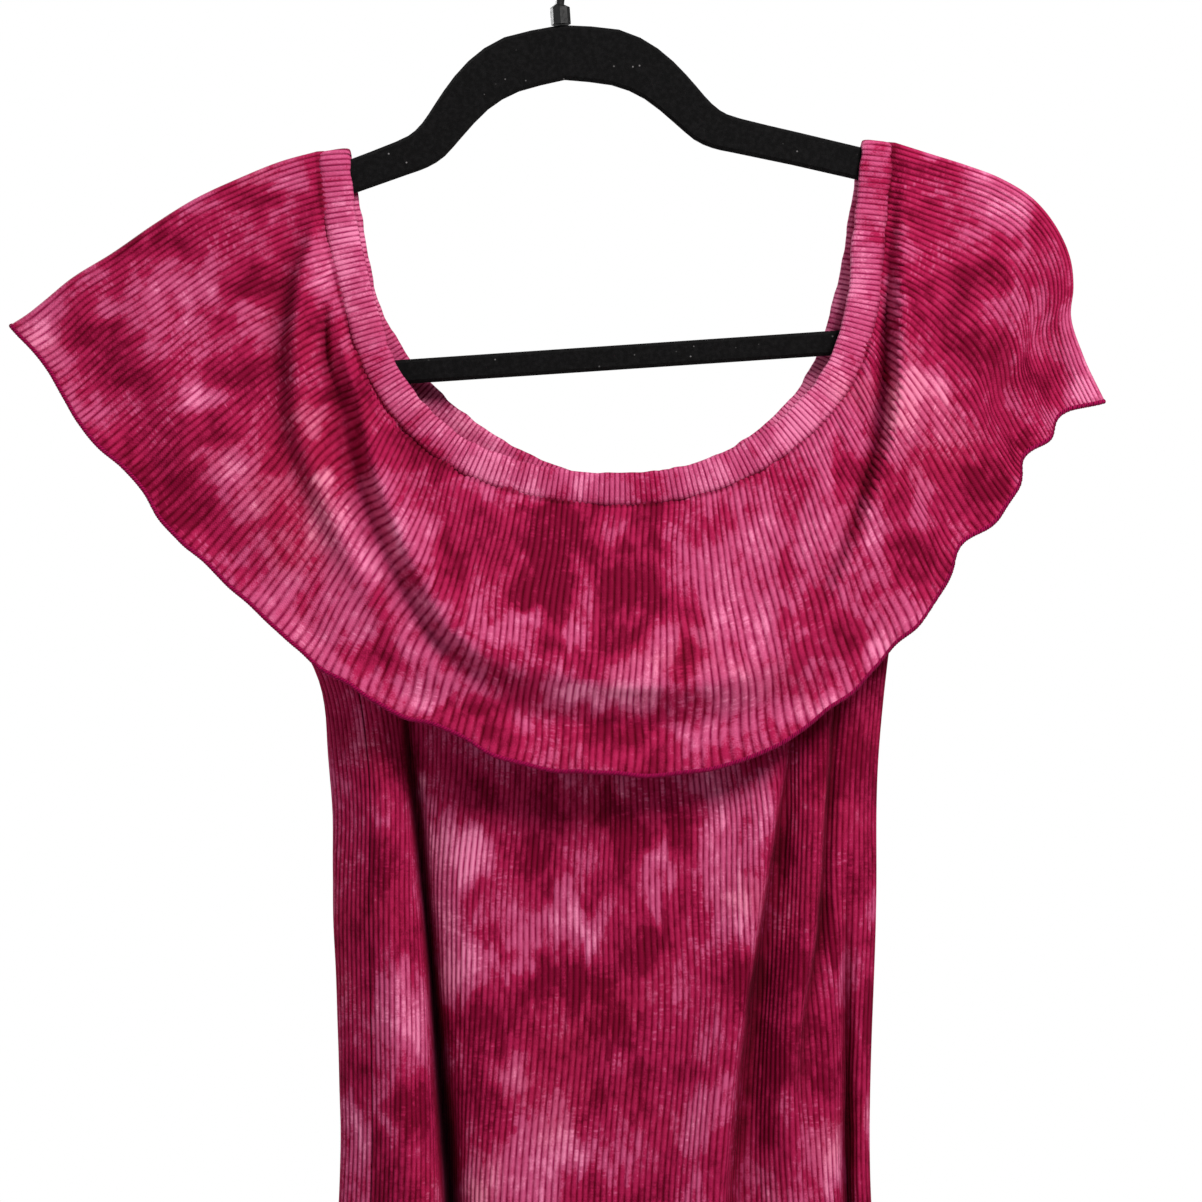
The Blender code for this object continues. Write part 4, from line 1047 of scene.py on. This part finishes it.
def blend_colours(tree, amount, first, second, blend_type="MIX"):
    node = add_node(tree, "ShaderNodeMix", data_type="RGBA", blend_type=blend_type)
    for index, value in ((0, amount), (6, first), (7, second)):
        feed(tree, node.inputs[index], value)
    return node.outputs[2]


def noise(tree, vector, scale, detail=3.0, roughness=0.55):
    inputs = {"Vector": vector, "Scale": scale, "Detail": detail, "Roughness": roughness}
    return add_node(tree, "ShaderNodeTexNoise", inputs).outputs["Fac"]


def rib_noise(tree, rib, along, name):
    """Noise that runs along the ribs."""
    across, down, place, detail, roughness = RIB_NOISE[name]
    parts = {0: times(tree, rib, across), 1: times(tree, along, down), 2: place}
    vector = add_node(tree, "ShaderNodeCombineXYZ", parts).outputs[0]
    return noise(tree, vector, 1.0, detail, roughness)


def opaque(colour, share=1.0):
    return tuple(value * share for value in colour) + (1.0,)


def object_place(tree):
    return add_node(tree, "ShaderNodeTexCoord").outputs["Object"]


def attribute(tree, name):
    return add_node(tree, "ShaderNodeAttribute", attribute_name=name).outputs["Fac"]


def rib_map(tree):
    """Number of the rib, and the length along it in millimetres."""
    place = add_node(tree, "ShaderNodeUVMap", uv_map="ribs").outputs["UV"]
    parts = add_node(tree, "ShaderNodeSeparateXYZ", {"Vector": place}).outputs
    return parts["X"], parts["Y"]


def new_group(name, inputs, outputs):
    """An empty node group with named sockets, its inputs and its output node."""
    tree = bpy.data.node_groups.new(name, "ShaderNodeTree")
    for label, kind, value in inputs:
        socket = tree.interface.new_socket(name=label, in_out="INPUT", socket_type=kind)
        socket.default_value = value
    for label, kind in outputs:
        tree.interface.new_socket(name=label, in_out="OUTPUT", socket_type=kind)
    return tree, tree.nodes.new("NodeGroupInput").outputs, tree.nodes.new("NodeGroupOutput").inputs


def place_group(tree, name, inputs):
    group = bpy.data.node_groups[name]
    return add_node(tree, "ShaderNodeGroup", inputs, node_tree=group).outputs


# Effects that the finishes share
def make_groove_group():
    """Rib number to a mask of the groove between ribs, and the ridge's height."""
    tree, given, result = new_group(
        "rib_groove", [("Rib", FLOAT, 0.0), ("Width", FLOAT, 0.3)],
        [("Groove", FLOAT), ("Ridge", FLOAT)],
    )
    part = maths(tree, "FRACT", given["Rib"])
    aside = maths(tree, "ABSOLUTE", maths(tree, "SUBTRACT", times(tree, part, 2.0), 1.0))
    start = maths(tree, "SUBTRACT", 1.0, given["Width"])
    tree.links.new(ramp(tree, aside, start, 1.0), result["Groove"])
    hollow = maths(tree, "POWER", aside, GROOVE_POWER)
    tree.links.new(maths(tree, "SUBTRACT", 1.0, hollow), result["Ridge"])


def make_stitch_group():
    """Rows of small chevron loops along each rib, two to a ridge."""
    tree, given, result = new_group(
        "knit_stitch", [("Rib", FLOAT, 0.0), ("Along", FLOAT, 0.0), ("Row", FLOAT, 1.3)],
        [("Height", FLOAT)],
    )
    wale = maths(tree, "FRACT", times(tree, given["Rib"], 2.0))
    slant = maths(tree, "ABSOLUTE", maths(tree, "SUBTRACT", wale, 0.5))
    rows = maths(tree, "DIVIDE", given["Along"], given["Row"])
    phase = maths(tree, "ADD", rows, times(tree, slant, STITCH_SLANT))
    wave = maths(tree, "SINE", times(tree, phase, 2.0 * math.pi))
    tree.links.new(maths(tree, "MULTIPLY_ADD", wave, 0.5, 0.5), result["Height"])


def make_dash_group():
    """Short pale dashes on the ridges, where the dye missed raised stitches."""
    tree, given, result = new_group(
        "dye_dashes", [("Rib", FLOAT, 0.0), ("Along", FLOAT, 0.0), ("Length", FLOAT, 1.7)],
        [("Mask", FLOAT)],
    )
    index = maths(tree, "FLOOR", given["Rib"])
    steps = maths(tree, "DIVIDE", given["Along"], given["Length"])
    dashes = mask(tree, rib_noise(tree, index, steps, "dashes"), "dashes")
    areas = mask(tree, rib_noise(tree, index, given["Along"], "dash_areas"), "dash_areas")
    tree.links.new(times(tree, dashes, areas), result["Mask"])


def make_dye_group():
    """Tone of the dye to its colour."""
    tree, given, result = new_group(
        "dye_colour",
        [("Tone", FLOAT, 0.5)] + [(label, COLOUR, (1, 1, 1, 1)) for label in DYE_LABELS],
        [("Colour", COLOUR)],
    )
    colour = given[DYE_LABELS[0]]
    for label, (low, high) in zip(DYE_LABELS[1:], DYE_STEPS):
        colour = blend_colours(tree, ramp(tree, given["Tone"], low, high), colour, given[label])
    tree.links.new(colour, result["Colour"])


def make_fuzz_group():
    """Fine fibre relief, as height and as a light mottling."""
    tree, given, result = new_group(
        "fibre_fuzz", [("Vector", VECTOR, (0, 0, 0)), ("Scale", FLOAT, FIBRE_SCALE["knit"])],
        [("Height", FLOAT), ("Mottle", FLOAT)],
    )
    fine = noise(tree, given["Vector"], given["Scale"], roughness=FIBRE_ROUGHNESS)
    tree.links.new(fine, result["Height"])
    coarse = noise(tree, given["Vector"], times(tree, given["Scale"], MOTTLE_SCALE))
    tree.links.new(coarse, result["Mottle"])


# Finishes
def new_material(name, roughness, **constants):
    material = bpy.data.materials.new(name)
    material.use_nodes = True
    tree = material.node_tree
    shader = tree.nodes["Principled BSDF"]
    shader.inputs["Roughness"].default_value = roughness
    for label, value in constants.items():
        shader.inputs[label.replace("_", " ")].default_value = value
    return material, tree, shader.inputs


def link_bump(tree, surface, height, name):
    inputs = {"Height": height, "Distance": BUMPS[name][0], "Strength": BUMPS[name][1]}
    bump = add_node(tree, "ShaderNodeBump", inputs)
    tree.links.new(bump.outputs["Normal"], surface["Normal"])


def knit_tone(tree, rib, along, groove, fuzz):
    """The tone of the dye and of a few painted highlights, from the piece's attribute, made uneven by
    ribs, stitches and fibres.
    """
    shifts = {
        "streaks": rib_noise(tree, rib, along, "streaks"),
        "single_ribs": rib_noise(tree, maths(tree, "FLOOR", rib), along, "single_ribs"),
        "mottle": fuzz["Mottle"],
        "fibres": fuzz["Height"],
    }
    tone = attribute(tree, "dye")
    for name, value in shifts.items():
        weight = TONE_SHIFTS[name]
        shift = maths(tree, "MULTIPLY_ADD", value, weight, -weight / 2.0)
        tone = maths(tree, "ADD", tone, shift)
    dash = place_group(tree, "dye_dashes", {"Rib": rib, "Along": along})["Mask"]
    lifted = times(tree, times(tree, dash, groove["Ridge"]), DASH_LIFT)
    return maths(tree, "SUBTRACT", tone, lifted)


def make_knit(name, cloth):
    """Tie-dyed rib knit: tone from the piece's own dye attribute, which also holds a few painted
    highlights; painted shade in the grooves from its rib map, and in the creases from the attribute
    that holds their painted shade.
    """
    _, tree, surface = new_material(
        name, 0.8, Sheen_Weight=0.03, Sheen_Roughness=0.4,
        Sheen_Tint=(1.0, 0.4, 0.6, 1.0), Specular_IOR_Level=0.07,
    )
    rib, along = rib_map(tree)
    place = object_place(tree)
    groove = place_group(tree, "rib_groove", {"Rib": rib, "Width": GROOVE_WIDTH[name]})
    stitch = place_group(tree, "knit_stitch", {"Rib": rib, "Along": along})["Height"]
    fuzz = place_group(tree, "fibre_fuzz", {"Vector": place})
    stops = {label: opaque(getattr(cloth, label.lower())) for label in DYE_LABELS}
    stops["Tone"] = knit_tone(tree, rib, along, groove, fuzz)
    colour = place_group(tree, "dye_colour", stops)["Colour"]
    aged = mask(tree, noise(tree, place, *GRAIN["aged"]), "aged")
    colour = blend_colours(tree, aged, colour, opaque(cloth.aged), "MULTIPLY")
    # Painted shade: the grooves, unevenly along the ribs, and the soft creases are multiplied by the
    # groove tint; the deep folds are mixed towards the shadow colour
    limits = (GROOVE_LEAST * cloth.groove_shade_strength, cloth.groove_shade_strength)
    strength = ramp(tree, rib_noise(tree, rib, along, "wear_and_groove_shade"), *GROOVE_SHADE_NOISE, *limits)
    crease = attribute(tree, "crease")
    for amount in (times(tree, groove["Groove"], strength), mask(tree, crease, "crease")):
        colour = blend_colours(tree, amount, colour, opaque(cloth.groove), "MULTIPLY")
    colour = blend_colours(tree, mask(tree, crease, "fold"), colour, opaque(cloth.shadow))
    tree.links.new(colour, surface["Base Color"])
    tree.links.new(mask(tree, groove["Groove"], "rib_roughness"), surface["Roughness"])
    height = times(tree, groove["Ridge"], RELIEF["ridge"])
    height = maths(tree, "MULTIPLY_ADD", stitch, RELIEF["stitch"], height)
    height = maths(tree, "MULTIPLY_ADD", fuzz["Height"], RELIEF["fibres"], height)
    link_bump(tree, surface, height, "knit")


def make_thread(name, colour):
    """Looped edging thread, its turns slanting round the edge."""
    _, tree, surface = new_material(
        name, 0.7, Sheen_Weight=0.01, Sheen_Roughness=0.4, Specular_IOR_Level=0.08,
    )
    loop, around = rib_map(tree)
    turn = maths(tree, "MULTIPLY_ADD", around, THREAD_SLANT, loop)
    strand = maths(tree, "SINE", times(tree, turn, 2.0 * math.pi))
    fibres = {"Vector": object_place(tree), "Scale": FIBRE_SCALE["thread"]}
    fuzz = place_group(tree, "fibre_fuzz", fibres)
    # Painted shade between the thread's turns, where its relief is low
    dark = opaque(colour, THREAD_TURN_SHADE)
    mixed = blend_colours(tree, mask(tree, strand, "strand"), dark, opaque(colour))
    tree.links.new(mixed, surface["Base Color"])
    height = maths(tree, "MULTIPLY_ADD", fuzz["Height"], THREAD_FUZZ, strand)
    link_bump(tree, surface, height, "thread")


def make_flock(colour):
    """Black flocking with lint caught in it, rubbed a little thinner in places."""
    material, tree, surface = new_material(
        "black_flock", 0.95, Sheen_Weight=0.03, Sheen_Roughness=0.5, Specular_IOR_Level=0.1,
    )
    place = object_place(tree)
    fuzz = place_group(tree, "fibre_fuzz", {"Vector": place, "Scale": FIBRE_SCALE["flock"]})
    wear_and_groove_shade = mask(tree, fuzz["Mottle"], "flock_wear")
    shade = add_node(tree, "ShaderNodeCombineColor", {0: wear_and_groove_shade, 1: wear_and_groove_shade, 2: wear_and_groove_shade}).outputs[0]
    base = blend_colours(tree, 1.0, opaque(colour), shade, "MULTIPLY")
    cells = add_node(tree, "ShaderNodeTexVoronoi", {"Vector": place, "Scale": LINT_SCALE})
    sparse = mask(tree, noise(tree, place, *GRAIN["lint"]), "lint_area")
    lint = times(tree, mask(tree, cells.outputs["Distance"], "lint"), sparse)
    base = blend_colours(tree, times(tree, lint, LINT_SHARE), base, opaque(LINT_COLOUR))
    tree.links.new(base, surface["Base Color"])
    link_bump(tree, surface, fuzz["Height"], "flock")
    return material


def make_steel(colour):
    """Black plated wire, lightly scuffed."""
    material, tree, surface = new_material("black_wire", 0.3, Metallic=0.75)
    scuff = noise(tree, object_place(tree), *GRAIN["scuff"])
    bright = opaque(colour, WIRE_BRIGHT)
    base = blend_colours(tree, mask(tree, scuff, "scuff"), opaque(colour), bright)
    tree.links.new(base, surface["Base Color"])
    tree.links.new(mask(tree, scuff, "wire_roughness"), surface["Roughness"])
    link_bump(tree, surface, scuff, "wire")
    return material


def make_floor(colour):
    material, tree, surface = new_material("pale_floor", 0.9)
    grain = noise(tree, object_place(tree), *GRAIN["floor"])
    base = blend_colours(tree, grain, opaque(colour, FLOOR_DARK), opaque(colour))
    tree.links.new(base, surface["Base Color"])
    return material


# Settings
def size(label, text, value):
    return FloatProperty(
        name=label, description=text, default=value, min=0.0, unit="LENGTH", precision=5
    )


def tint(label, text, value):
    return FloatVectorProperty(
        name=label, description=text, default=value, size=3, min=0.0, max=1.0, subtype="COLOR"
    )


class ClothSettings(bpy.types.PropertyGroup):
    flounce_ribs: IntProperty(name="Flounce ribs", description="Ribs of one flounce panel", default=186)
    body_ribs: IntProperty(name="Body ribs", description="Ribs of one body panel", default=112)
    casing_ribs: IntProperty(name="Casing ribs", description="Ribs of half the casing", default=196)
    rib_height: size("Rib height", "How far a rib stands from its groove", 0.0006)
    thickness: size("Thickness", "Thickness of the knit", 0.0009)
    thread_radius: size("Edge radius", "Half the width of the sewn edge", 0.00092)
    # Strength of the painted shade in the rib grooves
    groove_shade_strength: FloatProperty(
        name="Groove darkness", description="How dark the grooves are", default=1.0, subtype="FACTOR",
    )
    pale: tint("Pale", "Where the dye is thinnest", (0.86, 0.235, 0.42))
    pink: tint("Pink", "Light dye", (0.60, 0.085, 0.215))
    magenta: tint("Magenta", "Middle dye", (0.42, 0.012, 0.077))
    deep: tint("Deep", "Strongest dye", (0.21, 0.0012, 0.028))
    aged: tint("Faded", "Warm cast of faded areas", (0.95, 1.0, 0.72))
    # Groove and Fold are painted shade: Groove darkens the rib grooves and the soft creases, Fold the
    # deep folds
    groove: tint("Groove", "Painted shade in the rib grooves and soft creases", (0.40, 0.035, 0.22))
    shadow: tint("Fold", "Depth of the sharp folds", (0.022, 0.0004, 0.005))
    thread: tint("Thread", "Edging thread", (0.42, 0.003, 0.085))


class HangerSettings(bpy.types.PropertyGroup):
    flock: tint("Flock", "Flocking of the hanger", (0.0050, 0.0048, 0.0050))
    wire: tint("Wire", "Plating of the hook", (0.03, 0.03, 0.03))


class StageSettings(bpy.types.PropertyGroup):
    distance: size("Camera distance", "From the camera to the hanger's plane", 1.6)
    sensor: FloatProperty(name="Sensor", description="Width of the camera's sensor in mm", default=36.0)
    floor_drop: size("Floor drop", "From the hem down to the floor", 0.06)
    floor_size: size("Floor size", "Side of the floor", 3.6)
    floor: tint("Floor", "Colour of the floor", (0.86, 0.86, 0.86))
    backdrop: FloatProperty(name="Backdrop", description="Brightness behind the dress", default=1.0)
    ambient: FloatProperty(name="Ambient", description="Brightness of the room's light", default=0.15)


# Making of the panels
def make_panel(part, side, shape, ribs, patches):
    """Makes one panel a piece of knit, and gives the path of its sewn edge."""
    cloth = bpy.context.scene.dress_cloth
    grid, shares, along, crease, normals = shape(side, ribs, cloth.rib_height / MM)
    phase = shares * ribs
    # The dye attribute also holds a few painted highlights; the other mask holds the painted shade of
    # the creases
    masks = {"dye": dye_and_highlight_tone(grid, phase, patches, DYE_SEEDS[part][side], part), "crease": crease}
    piece = cloth_mesh(part + "_knit_" + side, grid, phase, along, masks, FACING[side])
    thicken(piece, cloth.thickness)
    finish_piece(piece, "dyed_rib_knit", part + "_" + side)
    inner = normals[-1] * cloth.thickness / MM / 2.0
    return grid[-1] - inner, normals[-1], unit(grid[-1] - grid[-2])


def sew_edge(name, edges, shared):
    """Sews the edging thread round the front and back; shared counts their common end points."""
    loop = [np.concatenate([a, b[::-1][shared:len(b) - shared]]) for a, b in zip(*edges)]
    edge = thread_piece(name, *loop, bpy.context.scene.dress_cloth.thread_radius / MM)
    finish_piece(edge, "crimson_thread")


# Operators
class DRESS_OT_materials(bpy.types.Operator):
    """Builds the shared node groups and the finishes of cloth and thread"""

    bl_idname = "dress.materials"
    bl_label = "Mix finishes"

    def execute(self, context):
        make_groove_group()
        make_stitch_group()
        make_dash_group()
        make_dye_group()
        make_fuzz_group()
        cloth = context.scene.dress_cloth
        for name in GROOVE_WIDTH:
            make_knit(name, cloth)
        make_thread("crimson_thread", cloth.thread)
        return {"FINISHED"}


class DRESS_OT_flounce(bpy.types.Operator):
    """Makes the front and back of the flounce, and the sewn edge round both"""

    bl_idname = "dress.flounce"
    bl_label = "Make flounce"

    def execute(self, context):
        ribs = context.scene.dress_cloth.flounce_ribs
        patches = {"front": FLOUNCE_DYE_AND_HIGHLIGHT, "back": scattered_dye(*HIDDEN_DYE["flounce"])}
        edges = [
            make_panel(
                "flounce", side, flounce_grid, ribs, patches[side],
            )
            for side in FACING
        ]
        sew_edge("flounce_edge", edges, 1)
        return {"FINISHED"}


class DRESS_OT_body(bpy.types.Operator):
    """Makes the front and back of the body, and the sewn edge of its hem"""

    bl_idname = "dress.body"
    bl_label = "Make body"

    def execute(self, context):
        ribs = context.scene.dress_cloth.body_ribs
        patches = {
            "front": BODY_DYE_AND_HIGHLIGHT + tuple(scattered_dye(*HIDDEN_DYE["skirt"])),
            "back": scattered_dye(*HIDDEN_DYE["back"]),
        }
        edges = [
            make_panel(
                "body", side, body_grid, ribs, patches[side]
            )
            for side in FACING
        ]
        sew_edge("hem_edge", edges, 0)
        return {"FINISHED"}


class DRESS_OT_casing(bpy.types.Operator):
    """Makes the ruched neck casing"""

    bl_idname = "dress.casing"
    bl_label = "Make neck casing"

    def execute(self, context):
        cloth = context.scene.dress_cloth
        grid, phase, rows, crease = casing_grid(cloth.casing_ribs, cloth.rib_height / MM)
        tone = dye_and_highlight_tone(grid, phase[:-1], FLOUNCE_DYE_AND_HIGHLIGHT, DYE_SEEDS["flounce"]["front"], "casing")
        masks = {"dye": tone, "crease": crease}
        piece = cloth_mesh("neck_casing_knit", grid, phase, rows, masks, 1.0, closed=True)
        finish_piece(piece, "dyed_casing_knit", "neck_casing")
        return {"FINISHED"}


class DRESS_OT_hanger(bpy.types.Operator):
    """Flocks the hanger and plates its hook"""

    bl_idname = "dress.hanger"
    bl_label = "Finish hanger"

    def execute(self, context):
        settings = context.scene.dress_hanger
        finishes = {"hanger": make_flock(settings.flock), "hook": make_steel(settings.wire)}
        for name, material in finishes.items():
            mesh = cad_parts[name].data
            mesh.materials.clear()
            mesh.materials.append(material)
        return {"FINISHED"}


class DRESS_OT_stage(bpy.types.Operator):
    """Sets the floor, the soft lights and the camera"""

    bl_idname = "dress.stage"
    bl_label = "Set stage"

    def execute(self, context):
        settings = context.scene.dress_stage
        bpy.ops.object.select_all(action="DESELECT")
        bpy.ops.mesh.primitive_plane_add(
            size=settings.floor_size, location=(0.0, 0.0, HEM_Z - settings.floor_drop)
        )
        floor = context.active_object
        floor.name = "floor"
        bpy.ops.object.transform_apply(location=True, rotation=False, scale=False)
        floor.data.materials.append(make_floor(settings.floor))
        middle = PHOTO_WIDTH / 2.0
        centre_x = (middle - PHOTO_AXIS[0]) / PHOTO_SCALE * MM
        centre_z = -(middle - PHOTO_AXIS[1]) / PHOTO_SCALE * MM
        bpy.ops.object.camera_add(
            location=(centre_x, -settings.distance, centre_z), rotation=(math.pi / 2.0, 0.0, 0.0)
        )
        camera = context.active_object
        camera.data.sensor_width = settings.sensor
        camera.data.lens = settings.sensor * settings.distance * PHOTO_SCALE / (PHOTO_WIDTH * MM)
        context.scene.camera = camera
        target = (centre_x, 0.0, centre_z)
        for name, place, width, power, colour in LIGHTS:
            bpy.ops.object.light_add(type="AREA", location=place)
            light = context.active_object
            light.name = name
            light.data.size = width
            light.data.energy = power
            light.data.color = colour
            aim = [goal - start for goal, start in zip(target, place)]
            tilt = math.atan2(math.hypot(aim[0], aim[1]), -aim[2])
            light.rotation_euler = (tilt, 0.0, math.atan2(-aim[0], aim[1]))
        world = bpy.data.worlds.new("studio")
        world.use_nodes = True
        context.scene.world = world
        tree = world.node_tree
        seen = add_node(tree, "ShaderNodeLightPath").outputs["Is Camera Ray"]
        ambient = settings.ambient
        strength = maths(tree, "MULTIPLY_ADD", seen, settings.backdrop - ambient, ambient)
        background = tree.nodes["Background"].inputs
        tree.links.new(strength, background["Strength"])
        background["Color"].default_value = (1.0, 1.0, 1.0, 1.0)
        context.scene.view_settings.view_transform = "Standard"
        return {"FINISHED"}


class DRESS_PT_panel(bpy.types.Panel):
    """Lists the dress's settings and steps"""

    bl_label = "Rib knit dress"
    bl_idname = "DRESS_PT_panel"
    bl_space_type = "VIEW_3D"
    bl_region_type = "UI"
    bl_category = "Dress"

    def draw(self, context):
        layout = self.layout
        for operator in OPERATORS:
            layout.operator(operator.bl_idname)
        for name, group in GROUPS.items():
            box = layout.box()
            for setting in group.__annotations__:
                box.prop(getattr(context.scene, name), setting)


OPERATORS = (
    DRESS_OT_materials, DRESS_OT_casing, DRESS_OT_flounce, DRESS_OT_body, DRESS_OT_hanger,
    DRESS_OT_stage,
)
GROUPS = {
    "dress_cloth": ClothSettings, "dress_hanger": HangerSettings, "dress_stage": StageSettings,
}


def register():
    for item in (*GROUPS.values(), *OPERATORS, DRESS_PT_panel):
        bpy.utils.register_class(item)
    for name, group in GROUPS.items():
        setattr(bpy.types.Scene, name, PointerProperty(type=group))


def unregister():
    for name in GROUPS:
        delattr(bpy.types.Scene, name)
    for item in (DRESS_PT_panel, *reversed(OPERATORS), *GROUPS.values()):
        bpy.utils.unregister_class(item)


def main():
    register()
    bpy.ops.dress.materials()
    bpy.ops.dress.casing()
    bpy.ops.dress.flounce()
    bpy.ops.dress.body()
    bpy.ops.dress.hanger()
    bpy.ops.dress.stage()


if __name__ == "__main__":
    main()
